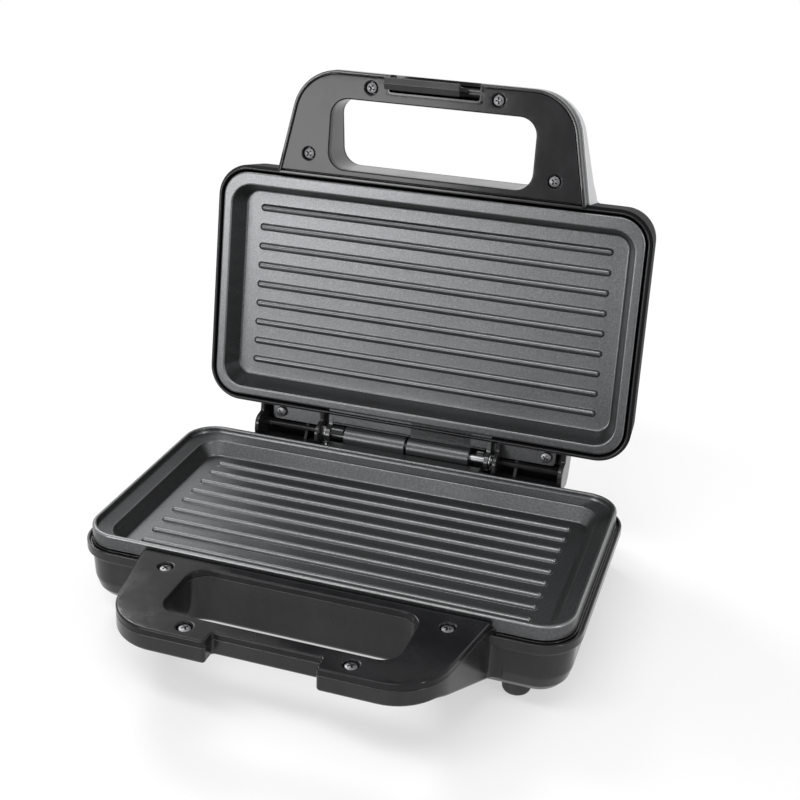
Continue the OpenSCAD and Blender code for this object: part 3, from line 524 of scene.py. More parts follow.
class Shader:
    """A material's node tree with one Principled surface."""

    def __init__(self, name: str) -> None:
        """Makes the material, empty but for its output and its surface."""
        self.material = bpy.data.materials.new(name)
        self.material.use_nodes = True
        self.tree = self.material.node_tree
        self.tree.nodes.clear()
        self.surface = self.node("ShaderNodeBsdfPrincipled")
        self.output = self.node("ShaderNodeOutputMaterial", {},
                                {"Surface": self.surface.outputs[0]})
        self.place = self.node("ShaderNodeTexCoord").outputs["Object"]

    def node(self, kind: str, settings: dict | None = None,
             values: dict | None = None) -> bpy.types.Node:
        """Adds a node.

        Args:
            kind: the node's type.
            settings: properties set first; "stops" gives a ramp's positions and colours.
            values: what its input sockets get, by name or number: a number, a link or a Value.

        Returns:
            The node.
        """
        node = self.tree.nodes.new(kind)
        for key, setting in (settings or {}).items():
            if key == "stops":
                for i, (place, color) in enumerate(setting):
                    stops = node.color_ramp.elements
                    stop = stops[i] if i < 2 else stops.new(place)
                    stop.position, stop.color = place, (*color, 1)
            else:
                setattr(node, key, setting)
        for key, value in (values or {}).items():
            self.feed(node.inputs[key], value)
        return node

    def feed(self, socket: Socket, value: object) -> None:
        """Links or sets one input socket."""
        if isinstance(value, Value):
            value = value.socket
        if isinstance(value, Socket):
            self.tree.links.new(value, socket)
        elif isinstance(value, tuple) and len(value) == 3 and socket.type == "RGBA":
            socket.default_value = (*value, 1)
        else:
            socket.default_value = value

    def stretched(self, scale: tuple) -> Socket:
        """The place on the object, stretched."""
        values = {"Vector": self.place, "Scale": scale}
        return self.node("ShaderNodeMapping", {}, values).outputs[0]

    def noise(self, size: float, detail: float = 2, rough: float = 0.5,
              place: Socket | None = None) -> Value:
        """Cloudy noise about 0.5.

        Args:
            size: how large its blobs are, in millimetres.
            detail: octaves of finer noise.
            rough: strength of the finer noise.
            place: where it is read, if not the object's own place.

        Returns:
            The noise.
        """
        values = {"Vector": place or self.place, "Scale": 1 / (size * MM), "Detail": detail,
                  "Roughness": rough}
        return Value(self, self.node("ShaderNodeTexNoise", {}, values).outputs["Fac"])

    def cells(self, size: float, feature: str = "F1") -> Value:
        """Distance to the nearest of scattered points, about so many millimetres apart."""
        values = {"Vector": self.place, "Scale": 1 / (size * MM)}
        node = self.node("ShaderNodeTexVoronoi", {"feature": feature}, values)
        return Value(self, node.outputs["Distance"])

    def axis(self, name: str) -> Value:
        """One coordinate of the place, in millimetres."""
        node = self.node("ShaderNodeSeparateXYZ", {}, {"Vector": self.place})
        return Value(self, node.outputs[name]) * (1 / MM)

    def mix(self, factor: "Value | float", a: object, b: object) -> Socket:
        """A colour between two colours."""
        values = {0: factor, 6: a, 7: b}
        return self.node("ShaderNodeMix", {"data_type": "RGBA"}, values).outputs[2]

    def bump(self, relief: Value, depth: float, strength: float = 1.0,
             under: Socket | None = None) -> Socket:
        """A normal bent by a relief so many millimetres deep."""
        values = {"Height": relief, "Distance": depth * MM, "Strength": strength}
        if under:
            values["Normal"] = under
        return self.node("ShaderNodeBump", {}, values).outputs[0]

    def dress(self, **sockets: object) -> Material:
        """Sets the surface's sockets, with underscores for spaces, and gives the material."""
        for key, value in sockets.items():
            self.feed(self.surface.inputs[key.replace("_", " ")], value)
        return self.material


# ---- finishes


@dataclass(frozen=True)
class Finish:
    """A finish: its name and the record's slot that it belongs to."""

    name: str
    slot: str

    def material(self) -> Material:
        """The finish's material, made the first time it is asked for."""
        return bpy.data.materials.get(self.name) or self.make(Shader(self.name))

    def make(self, s: Shader) -> Material:
        """Dresses a new shader."""
        raise NotImplementedError


@dataclass(frozen=True)
class NonStick(Finish):
    """Charcoal non-stick coating on cast aluminium, with a fine fleck."""

    dark: tuple = (0.070, 0.071, 0.073)
    light: tuple = (0.120, 0.122, 0.125)
    rough: float = 0.26
    # How strongly convex edges are paled toward light grey, a painted highlight along rims and
    # rib ridges.
    painted_highlight: float = 0.0

    def make(self, s: Shader) -> Material:
        """Flecks half a millimetre across, faint baked clouds, a pebbled film and, where asked
        for, a painted highlight that pales the convex edges.
        """
        fleck = s.noise(0.75, 3, 0.6)
        cloud = s.noise(38, 2)
        tone = fleck.step(0.36, 0.72) * 0.8 + cloud.step(0.3, 0.7) * 0.2
        spark = s.cells(1.9).step(0.16, 0.05)
        color = s.mix(spark * 0.25, s.mix(tone, self.dark, self.light), (0.24, 0.24, 0.245))
        # Painted highlight: convex edges, found by their pointiness, are paled toward light grey.
        if self.painted_highlight:
            turn = Value(s, s.node("ShaderNodeNewGeometry").outputs["Pointiness"])
            color = s.mix(turn.step(0.515, 0.56) * self.painted_highlight, color, (0.36, 0.362, 0.365))
        film = s.bump(fleck * 0.7 + s.noise(0.35, 2) * 0.3, 0.03, 0.4)
        rough = self.rough + fleck * 0.08 + cloud * 0.05
        return s.dress(Base_Color=color, Roughness=rough, Metallic=0.9, Normal=film)


@dataclass(frozen=True)
class Moulding(Finish):
    """Moulded black plastic, from glossy to satin."""

    color: tuple = (0.010, 0.010, 0.011)
    rough: float = 0.16
    grain: float = 0.0
    shine: float = 0.5

    def make(self, s: Shader) -> Material:
        """An uneven gloss, handling smears, dust and, where asked for, a spark grain."""
        smear = s.noise(16, 4, 0.62, s.stretched((1, 1, 0.45)))
        fine = s.noise(0.5, 2)
        dust = s.cells(6.5).step(0.045, 0.015)
        lift = tuple(c * 1.9 + 0.004 for c in self.color)
        color = s.mix(smear.step(0.35, 0.75) * 0.5 + dust * 0.5, self.color, lift)
        rough = self.rough + smear.step(0.45, 0.8) * 0.07 + fine * (0.02 + 0.12 * self.grain)
        skin = s.bump(s.noise(7, 1), 0.05, 0.12)
        skin = s.bump(fine, 0.03 + 0.09 * self.grain, 0.10 + 0.5 * self.grain, skin)
        return s.dress(Base_Color=color, Roughness=rough, IOR=1.5, Specular_IOR_Level=self.shine,
                       Normal=skin)


@dataclass(frozen=True)
class BrushedSteel(Finish):
    """Stainless sheet brushed along its width."""

    def make(self, s: Shader) -> Material:
        """Long thin streaks along X in the tone, the gloss and the relief."""
        streak = s.noise(1.0, 5, 0.7, s.stretched((0.012, 3.2, 3.2)))
        broad = s.noise(9, 2, 0.5, s.stretched((0.05, 1, 1)))
        tone = streak.step(0.25, 0.8) * 0.75 + broad * 0.25
        color = s.mix(tone, (0.40, 0.405, 0.41), (0.66, 0.665, 0.675))
        rough = 0.26 + streak * 0.16 + broad * 0.05
        return s.dress(Base_Color=color, Roughness=rough, Metallic=1.0,
                       Normal=s.bump(streak, 0.02, 0.35))


@dataclass(frozen=True)
class TurnedSteel(Finish):
    """Drawn or turned steel, with fine rings round the X axis."""

    color: tuple = (0.52, 0.525, 0.53)
    rough: float = 0.28
    patina: float = 0.3

    def make(self, s: Shader) -> Material:
        """Fine rings, a mottled film and darker specks."""
        ring = s.noise(0.5, 3, 0.6, s.stretched((2.5, 0.12, 0.12)))
        film = s.noise(5, 4, 0.6)
        pale = tuple(min(c * 1.25, 1) for c in self.color)
        dull = tuple(c * (1 - 0.7 * self.patina) for c in self.color)
        color = s.mix(film.step(0.35, 0.7), s.mix(ring, dull, self.color), pale)
        rough = self.rough + ring * 0.10 + film * 0.12
        return s.dress(Base_Color=color, Roughness=rough, Metallic=1.0,
                       Normal=s.bump(ring, 0.02, 0.4))


@dataclass(frozen=True)
class Rubber(Finish):
    """Matt black rubber with mould dust."""

    def make(self, s: Shader) -> Material:
        """A soft grain and pale scuffs low down."""
        grain = s.noise(0.8, 3, 0.6)
        scuff = s.noise(4, 4, 0.7).step(0.52, 0.8)
        low = s.axis("Z").step(3.5, 0.4)
        color = s.mix(scuff * 0.4 + low * 0.25, (0.012, 0.012, 0.012), (0.07, 0.068, 0.065))
        return s.dress(Base_Color=color, Roughness=0.48 + grain * 0.2,
                       Normal=s.bump(grain, 0.08, 0.4))


@dataclass(frozen=True)
class Lens(Finish):
    """Tinted clear plastic over a lamp."""

    color: tuple = (0.5, 0.03, 0.02)

    def make(self, s: Shader) -> Material:
        """A deep tint with fine moulded facets under a clear skin."""
        facet = s.cells(1.1, "DISTANCE_TO_EDGE").step(0.02, 0.22)
        deep = tuple(c * 0.35 for c in self.color)
        color = s.mix(facet, deep, self.color)
        return s.dress(Base_Color=color, Roughness=0.10 + s.noise(0.6) * 0.08, Coat_Weight=0.6,
                       Transmission_Weight=0.25, IOR=1.49, Normal=s.bump(facet, 0.05, 0.3))


@dataclass(frozen=True)
class Blotched(Finish):
    """A hidden part's finish: two tones in blotches, with a grain."""

    dark: tuple = (0.2, 0.2, 0.2)
    light: tuple = (0.4, 0.4, 0.4)
    metallic: float = 0.0
    rough: float = 0.5
    size: float = 6.0

    def make(self, s: Shader) -> Material:
        """Blotches of tone, a fine grain in the gloss and the relief."""
        blotch = s.noise(self.size, 4, 0.6)
        grain = s.noise(0.6, 3, 0.6, s.stretched((0.3, 1, 1)))
        color = s.mix(blotch.step(0.3, 0.7) * 0.8 + grain * 0.2, self.dark, self.light)
        return s.dress(Base_Color=color, Roughness=self.rough + grain * 0.15,
                       Metallic=self.metallic, Normal=s.bump(grain, 0.05, 0.4))


@dataclass(frozen=True)
class Board(Finish):
    """A lamp board: green lacquer with copper tracks under it and dark holes."""

    def make(self, s: Shader) -> Material:
        """Straight tracks 1.3 mm apart in two directions, under a mottled lacquer."""
        along = (s.axis("X") * 4.8).wave().step(0.35, 0.55)
        cross_way = (s.axis("Y") * 2.6).wave().step(0.55, 0.7)
        zone = s.noise(7, 0).step(0.48, 0.52)
        track = along * zone + cross_way * (1 - zone)
        color = s.mix(track, (0.015, 0.10, 0.045), (0.05, 0.22, 0.10))
        return s.dress(Base_Color=color, Roughness=0.28 + s.noise(2, 3) * 0.2,
                       Normal=s.bump(track, 0.035, 0.8))


# The plates' coating pales its edges as a painted highlight.
COATING = NonStick("nonstick_coating", "plate", painted_highlight=0.85)
CASTING = NonStick("nonstick_casting", "plate")
GLOSS = Moulding("gloss_black_moulding", "casing", (0.010, 0.010, 0.011), 0.18, 0.0, 0.34)
# A darker, barely reflective copy of the black casing plastic: painted shade on the lid shell's
# sides.
SHADED_SHELL = Moulding("shaded_black_shell", "casing", (0.006, 0.006, 0.007), 0.5, 0.2, 0.03)
COVER = Moulding("gloss_black_cover", "cover", (0.008, 0.008, 0.009), 0.13, 0.05, 0.17)
SATIN = Moulding("satin_black_moulding", "latch", (0.014, 0.014, 0.015), 0.27, 0.35)
SHEET = BrushedSteel("brushed_sheet", "steel_panel")
PIN = TurnedSteel("turned_pin", "pin_steel", (0.20, 0.202, 0.205), 0.2)
# A darker copy of the plates' coating: painted shade for the barrels' dark reflections.
SHADED_BARREL = NonStick("shaded_barrel_coating", "plate", (0.055, 0.056, 0.058), (0.085, 0.086, 0.088), 0.26)
SCREW = TurnedSteel("blackened_screw", "screw_steel", (0.16, 0.16, 0.165), 0.3, 0.5)
RUBBER = Rubber("foot_rubber", "rubber")
RED = Lens("red_lens", "lens_red", (0.55, 0.025, 0.015))
GREEN = Lens("green_lens", "lens_green", (0.02, 0.36, 0.06))
HEATER = Blotched("heater_sheath", "heater", (0.16, 0.12, 0.09), (0.34, 0.31, 0.28), 0.9, 0.42)
MIRROR = Blotched("reflector_sheet", "reflector", (0.55, 0.56, 0.57), (0.8, 0.8, 0.8), 1.0, 0.22,
                  14)
CERAMIC = Blotched("glazed_ceramic", "ceramic", (0.55, 0.53, 0.47), (0.74, 0.72, 0.66), 0.0, 0.32,
                   2.5)
BOARD = Board("lamp_board_lacquer", "board")


# ---- pieces


class Body(Enum):
    """The bodies that pieces ride on."""

    BASE = "base"
    LID = "lid"
    LATCH = "latch"


PLACE = {Body.BASE: in_base, Body.LID: in_lid, Body.LATCH: in_lid}


def piece(name: str, shell: Shell, body: Body, finish: Finish, nodes: Sequence[str] = (),
          sharp: float = 38) -> bpy.types.Object:
    """Makes one finished piece of the toaster.

    Args:
        name: the piece's name.
        shell: its surface, in the millimetres of the closed toaster.
        body: the body that it rides on.
        finish: its finish.
        nodes: the solids that it stands for.
        sharp: the angle in degrees past which an edge stays sharp.

    Returns:
        The object.
    """
    mesh = shell.moved(PLACE[body]).mesh(name)
    mesh.polygons.foreach_set("use_smooth", [True] * len(mesh.polygons))
    mesh.set_sharp_from_angle(angle=math.radians(sharp))
    mesh.materials.append(finish.material())
    obj = new_object(name, mesh)
    normals = obj.modifiers.new("normals", "WEIGHTED_NORMAL")
    normals.keep_sharp = True
    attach(obj, body.value)
    if nodes:
        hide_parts(*nodes)
    LOG.info("%s: %d faces on %s", name, len(mesh.polygons), body.value)
    return obj


def dress_node(name: str, finish: Finish) -> None:
    """Gives a carried-over solid its finish."""
    node = frame["nodes"][name]
    node.data.materials.clear()
    node.data.materials.append(finish.material())
    LOG.info("%s: kept, %s", name, finish.name)


PLATE_SCREWS = [(a * 70.5, b * 39.5) for a in (-1, 1) for b in (-1, 1)]


def pairs(places: Sequence[tuple]) -> list[tuple]:
    """Places (x, y) of the right side, each after its mirror image."""
    return [(side * x, y) for x, y in places for side in (-1, 1)]


def wells(places: Sequence[tuple]) -> list[Array]:
    """The clockwise outlines of a cover's screw wells, on both sides."""
    return [circle(x, y, 3.3, 32)[::-1] for x, y in pairs(places)]


@dataclass
class CrossScrew:
    """A pan-headed screw with a cross recess, its head's seat at height 0."""

    length: float = 6.0
    shank: float = 1.45
    tip: float = 0.7
    head: float = 2.8
    rise: float = 2.4
    bevel: float = 0.5
    crown: float = 0.35
    recess: float = 1.7
    slot_half: float = 0.42
    lip: float = 0.35
    depth: float = 1.5

    def shell(self) -> Shell:
        """The shank and head as one turned profile, with the recess sunk in the crown.

        The crown stands crown (1 - (distance / edge)^2) above the bevel.
        """
        edge, arc = self.head - self.bevel, quarter(4)
        side = self.rise - self.crown - self.bevel
        profile = np.concatenate([
            [[0, -self.length], [self.shank * 0.5, -self.length],
             [self.shank, -self.length + self.tip], [self.shank, 0], [self.head, 0]],
            np.stack([edge + self.bevel * np.cos(arc), side + self.bevel * np.sin(arc)], 1),
        ])
        dome = lambda p: side + self.bevel + self.crown * (1 - (p ** 2).sum(-1) / edge ** 2)
        plus = cross(0, 0, self.recess, self.slot_half)
        sunk = cross(0, 0, self.recess * 0.55, self.slot_half * 0.7)
        shell = Shell().turned(profile)
        shell.fill([circle(0, 0, edge, 48), plus], dome, 0.5)
        return shell.capped([lift(plus, dome(plus)), lift(plus, dome(plus) - self.lip),
                             lift(sunk, self.rise - self.depth)])

    def at(self, x: float, y: float, z: float, down: bool = False) -> Shell:
        """The screw at a place, head up or down, its recess turned by an angle of that place."""
        angle = 0.9 * math.sin(3.1 * x + 1.7 * y)
        c, s, flip = math.cos(angle), math.sin(angle), -1 if down else 1
        turned = np.array([[c, s, 0], [-s, c, 0], [0, 0, flip]])
        return self.shell().moved(lambda p: p @ turned + np.array([x, y, z]))

    def build(self, name: str, body: Body, node: str, places: Sequence[tuple], z: float,
              down: bool = False) -> None:
        """Makes a set of these screws as one piece.

        Args:
            name: the piece's name.
            body: the body that it rides on.
            node: the solid that it stands for.
            places: where the screws stand.
            z: the height of their seats.
            down: whether their heads point down.
        """
        screws = [self.at(x, y, z, down) for x, y in places]
        piece(name, Shell().join(*screws), body, SCREW, [node])


@dataclass
class CookingPlate:
    """A cast plate: a rim, a sunk cooking floor with ribs, and a turned-down skirt."""

    name: str
    node: str
    body: Body
    width: float
    depth: float
    corner: float
    y: float
    rim_z: float
    face: int
    cavity: tuple = (214.0, 110.0, 11.0)
    lean: float = 3.5
    sink: float = 12.0
    wall: float = 2.2
    skirt: float = 7.0
    ledge: float = 0.0
    slope: float = 0.0
    rib_count: int = 9
    rib_pitch: float = 10.5
    rib_half: float = 93.3
    rib_r: float = 1.7
    fillet: float = 0.45
    low_round: float = 1.3
    high_round: float = 0.9
    edge_round: float = 0.9
    stud_r: float = 3.8
    stud: float = 5.0

    def rib_loop(self, y: float, r: float) -> Array:
        """A rib's outline, a stadium with straight sides and round ends, anticlockwise."""
        turn = np.linspace(-math.pi / 2, math.pi / 2, 9)
        right = np.stack([self.rib_half + r * np.cos(turn), y + r * np.sin(turn)], 1)
        left = np.stack([-self.rib_half - r * np.cos(turn), y - r * np.sin(turn)], 1)
        return np.concatenate([right, left])

    def rib(self, shell: Shell, y: float) -> Array:
        """Adds a rib: outlines that shrink from its fillet to its ridge.

        The fillet is a quarter circle outside the rib and the rib itself a half circle.

        Args:
            shell: the surface it is added to.
            y: where the rib lies.

        Returns:
            The outline of its foot.
        """
        turn = quarter(4)
        reach = [self.rib_r + self.fillet * (1 - math.sin(a)) for a in turn]
        rise = [self.fillet * (1 - math.cos(a)) * 0.8 for a in turn]
        start = math.asin(min(rise[-1] / self.rib_r, 1))
        for a in np.linspace(start, math.pi / 2, 8)[1:]:
            reach.append(max(self.rib_r * math.cos(a), 0.02))
            rise.append(self.rib_r * math.sin(a))
        loops = [self.rib_loop(y, r) for r in reach]
        shell.capped([lift(loop, h - self.sink) for loop, h in zip(loops, rise)])
        return loops[0]

    def wall_rows(self) -> list[tuple]:
        """Rings (width, depth, radius, y, z) from the cooking floor over the rim to the back.

        Each round is a quarter circle. Where there is a ledge, the cavity's edge lies on it, and
        it rises by its slope to the foot of the border.
        """
        w, d, r = self.cavity
        low, high, edge, t = self.low_round, self.high_round, self.edge_round, self.wall
        arc = list(zip(np.sin(quarter(4)), np.cos(quarter(4))))

        def pan(out: float, z: float) -> tuple:
            """A ring that stands outside the cavity's edge."""
            return (w + 2 * out, d + 2 * out, r + out, 0, z)

        def rim(inset: float, z: float) -> tuple:
            """A ring that stands inside the plate's edge."""
            return (self.width - 2 * inset, self.depth - 2 * inset, self.corner - inset,
                    self.y, z)

        rows = [pan(-self.lean - low * (1 - s), low * (1 - c) - self.sink) for s, c in arc]
        rows += [pan(high * (1 - c), -high * (1 - s) - self.ledge) for s, c in arc]
        rows.append(pan(high + 0.35, -self.ledge))
        if self.ledge:
            foot = self.slope - self.ledge
            rows += [rim(t + 1.0, foot - 0.2), rim(t + 0.3, foot + 0.1), rim(t, foot + 0.8),
                     rim(t - 0.1, -edge - 0.4), rim(t - 0.1, -edge)]
            rows += [rim(t - 0.1 - 0.7 * (1 - c), -edge * (1 - s)) for s, c in arc]
        else:
            rows.append(rim(edge + 0.35, 0))
        rows += [rim(edge * (1 - s), -edge * (1 - c)) for s, c in arc]
        rows += [rim(0, -edge - 0.35), rim(0, -self.skirt + 0.8), rim(0, -self.skirt + 0.4),
                 rim(0.4, -self.skirt)]
        if not self.ledge:
            rows += [rim(t - 0.3, -self.skirt), rim(t, -self.skirt + 0.3), rim(t, -t)]
        return rows + [pan(t, -self.ledge - t), pan(t - self.lean, -self.sink - t + 1.2),
                       pan(t - self.lean - 1.2, -self.sink - t)]

    def shell(self) -> Shell:
        """The whole plate, with its rim at height 0 and its food side up."""
        rows = self.wall_rows()
        loops = [rounded_box(w, d, max(r, 0.5), y, 14) for w, d, r, y, _ in rows]
        shell = Shell().grid(np.stack([lift(p, row[4]) for p, row in zip(loops, rows)]))
        middle = (self.rib_count - 1) / 2
        feet = [self.rib(shell, (i - middle) * self.rib_pitch) for i in range(self.rib_count)]
        shell.fill([loops[0], *feet], -self.sink)
        floor = -self.sink - self.wall
        studs = [circle(x, y, self.stud_r, 24) for x, y in PLATE_SCREWS]
        shell.fill([loops[-1], *studs], floor)
        for stud in studs:
            shell.capped([lift(stud, floor), lift(stud, floor - self.stud)])
        return shell

    def build(self) -> None:
        """Makes the plate where it belongs."""
        flip = np.array([1.0, 1.0, self.face])
        shell = self.shell().moved(lambda p: p * flip + np.array([0, 0, self.rim_z]))
        piece(self.name, shell, self.body, COATING, [self.node])


@dataclass
class Feet:
    """Four rubber feet with rolled lower edges and stems through the floor."""

    radius: float = 6.5
    height: float = 9.5
    roll: float = 2.3
    front: tuple = (91.0, -44.5)
    rear: tuple = (105.5, 72.0)

    def foot(self, x: float, y: float) -> Shell:
        """One foot: a rolled edge, a slight waist, a hollow underneath and a barbed stem."""
        turn, roll, r = quarter(6), self.roll, self.radius
        stem = 0.05 + (13.1 if y > 0 else 11.9)
        profile = np.concatenate([
            [[0, 0.7], [2.2, 0.7], [2.7, 0.0]],
            np.stack([r - roll + roll * np.sin(turn), roll * (1 - np.cos(turn))], 1),
            [[r, 3.4], [r - 0.25, 6.0], [r, 8.2], [r, 9.1], [r - 0.4, self.height],
             [2.5, self.height], [2.5, stem], [3.3, stem], [2.6, stem + 1.4], [0, stem + 1.4]],
        ])
        return Shell().turned(profile, 40).placed((x, y, 0))

    def build(self) -> None:
        """Makes all four."""
        for end, (x, y) in {"front": self.front, "rear": self.rear}.items():
            for side, sign in {"left": -1, "right": 1}.items():
                name = f"foot_{end}_{side}"
                piece(f"rubber_{name}", self.foot(sign * x, y), Body.BASE, RUBBER, [name])


@dataclass
class HandleOutline:
    """The plan that both handles share: leaning sides, round front corners, a grip opening."""

    half: float = 82.5
    root_y: float = -62.0
    lean: float = 11.3
    corner: float = 25.0
    front_y: float = -120.0
    grip: tuple = (107.0, 36.0, 9.0)
    grip_y: float = -87.2

    def side_x(self, y: float, grow: float = 0.0) -> float:
        """Half the width at a depth."""
        slope = math.radians(self.lean)
        return self.half + (y - self.root_y) * math.tan(slope) + grow / math.cos(slope)

    def outline(self, back: float, grow: float = 0.0, notch: tuple | None = None,
                wing: float = 0.0) -> Array:
        """The handle's outline, anticlockwise from its back left.

        Args:
            back: the depth where it ends.
            grow: how far it stands outside the plain outline.
            notch: half width and depth of the notch in front, if there is one.
            wing: radius of the fillets that widen its root, or 0.

        Returns:
            The outline's points.
        """
        y0 = self.front_y - grow
        corner = self.corner + grow
        left = [(-self.side_x(back, grow), back, 0)]
        if wing:
            x, wall = self.side_x(back, grow), back - 3.2
            left = [(-x - wing, back, 0), (-x - wing, wall, 0),
                    (-self.side_x(wall, grow), wall, wing * 0.8)]
        left += [(-self.side_x(y0, grow), y0, corner)]
        if notch:
            half, depth = notch
            left += [(-half, y0, 1.6), (-half, self.front_y + depth, 1.2)]
        right = [(-x, y, r) for x, y, r in reversed(left)]
        return denser(rounded_polygon(left + right, 14), 4.0)

    def opening(self) -> Array:
        """The grip opening, clockwise."""
        return denser(rounded_box(*self.grip, self.grip_y, 10), 4.0)[::-1]


HANDLE = HandleOutline()


def soft_line(points: Sequence[tuple]) -> Callable[[Array], Array]:
    """A height that follows a rounded polyline of (y, z, radius) along Y."""
    path = rounded_polygon(points, 8)
    order = np.argsort(path[:, 0])
    return lambda xy: np.interp(xy[..., 1], path[order, 0], path[order, 1])


@dataclass
class BaseCasing:
    """The moulded tub with its band, the lower handle, the rear housing and the lid's stops."""

    size: tuple = (238.0, 130.0, 19.0, 0.0)
    under: float = 9.5
    floor: float = 11.9
    well_r: float = 3.2
    well_top: float = 16.4
    post_r: float = 7.0
    post_top: float = 23.3
    pin_r: float = 4.0
    pin_top: float = 27.2
    vent: tuple = (3.2, 30.0, 1.5)
    vent_pitch: float = 8.0
    vents_a_side: int = 5
    seat: float = 41.15
    cover_low: float = 41.25
    cover_top: float = 44.4
    stop: tuple = (55.0, 77.0)
    screws: tuple = ((65.8, -73.7), (36.9, -112.6))
    notch: tuple = (24.5, 7.6)
    inlet: tuple = (-30.0, 0.0, 17.75)

    def levels(self) -> Array:
        """The tub's wall as (inset, height), from the outside of its floor to the inside."""
        return rounded_polygon([
            (16, 9.5, 0), (11.2, 9.5, 1.2), (7.5, 11.5, 1.5), (5.0, 14.5, 3), (3.2, 20, 8),
            (2.5, 32.3, 1.3), (0.0, 34.3, 0.6), (0.0, 38.6, 0.4), (1.3, 38.6, 0.35),
            (1.4, 37.0, 0.3), (2.4, 37.0, 0.3), (2.5, 38.6, 0.3), (4.9, 38.6, 0.5), (4.9, 30, 3),
            (5.6, 20.9, 3), (8.4, 14.9, 2), (14.4, 11.9, 1), (20, 11.9, 0)], 5)

    def tub(self) -> Shell:
        """The tub: its wall, a floor with screw wells and vents, and posts inside."""
        rows = np.stack([ring(self.size, inset, z) for inset, z in self.levels()])
        shell = Shell().grid(rows)
        below, above = [], []
        for x, y in PLATE_SCREWS:
            well, post, pin = (circle(x, y, r, 32)
                               for r in (self.well_r, self.post_r, self.pin_r))
            flare = inset_rows(well, np.array([-0.5, -0.15, 0, 0]))
            heights = (self.under, self.under + 0.15, self.under + 0.6, self.well_top)
            shell.capped([lift(p, z) for p, z in zip(flare, heights)])
            shell.capped([lift(post, self.floor), lift(post, self.post_top),
                          lift(pin, self.post_top), lift(pin, self.pin_top)])
            below.append(flare[0])
            above.append(post)
        for i in range(-self.vents_a_side, self.vents_a_side + 1):
            vent = rounded_box(*self.vent, 0, 4) + np.array([i * self.vent_pitch, 0.0])
            shell.grid(np.stack([lift(vent, self.under), lift(vent, self.floor)]))
            below.append(vent)
            above.append(vent)
        shell.fill([rows[0][:, :2], *below], self.under)
        return shell.fill([rows[-1][:, :2], *above], self.floor)

    def underside(self) -> Callable[[Array], Array]:
        """The lower handle's underside, level in front and sloping down to the tub."""
        return soft_line([(-125, 33.2, 0), (-107, 33.2, 9), (-64, 15.5, 3), (-55, 15.5, 0)])

    def handle(self) -> Shell:
        """The lower handle under its cover, filleted into the tub."""
        loops = [HANDLE.outline(-59.1, notch=self.notch, wing=4.5), HANDLE.opening()]
        return Shell().slab(loops, self.underside(), self.seat, 1.8, 0.35, 6, 4.0)

    def cover(self) -> Shell:
        """The lower handle's cover with its screw wells."""
        loops = [HANDLE.outline(-63.3, notch=self.notch), HANDLE.opening(), *wells(self.screws)]
        return Shell().slab(loops, self.cover_low, self.cover_top, 0.35, 0.9, 5, 6.0)

    def housing(self) -> Shell:
        """The rear housing, with the cord inlet's seat sunk in its back."""
        plan = denser(rounded_box(225, 27, 8, 66.5), 6)
        block = Shell().slab([plan], self.under, 26.0, 1.2, 2.0, 5)
        bore = Shell().turned(np.array([[0, 72], [5, 72], [5, 82], [0, 82]]), 40)
        return block.carved(bore.placed(self.inlet, ALONG_Y))

    def bush(self) -> Shell:
        """The grooved bush round the cord's inlet."""
        profile = np.array([[3.2, 75.9], [5.5, 75.9], [5.7, 76.2], [5.7, 77.4], [4.9, 77.5],
                            [4.9, 80.05], [6.9, 80.05], [7.0, 80.4], [6.6, 81.3], [6.0, 81.6],
                            [3.9, 81.6], [3.2, 81.0], [3.2, 75.9]])
        return Shell().turned(profile, 48).placed(self.inlet, ALONG_Y)

    def build(self) -> None:
        """Makes the casing's pieces and their screws."""
        piece("base_tub", self.tub(), Body.BASE, GLOSS, ["base_casing"])
        piece("base_handle_body", self.handle(), Body.BASE, GLOSS)
        piece("base_rear_housing", self.housing(), Body.BASE, GLOSS)
        stop = rail([(68.3, 25, 0), (78.3, 25, 0), (78.3, 37.1, 1.2), (68.3, 38.55, 1.2)],
                    *self.stop, 0.7, 4, 3)
        for side, word in ((-1, "left"), (1, "right")):
            piece(f"lid_stop_{word}", mirrored(stop, side), Body.BASE, GLOSS)
        piece("base_cover", self.cover(), Body.BASE, COVER, ["base_handle_cover"])
        CrossScrew().build("base_cover_screws", Body.BASE, "base_handle_screws",
                           pairs(self.screws), self.cover_low + 0.35)
        CrossScrew(12).build("base_floor_screws", Body.BASE, "base_plate_screws", PLATE_SCREWS,
                             self.well_top, True)
        piece("inlet_bush", self.bush(), Body.BASE, RUBBER, ["cord_gland"])


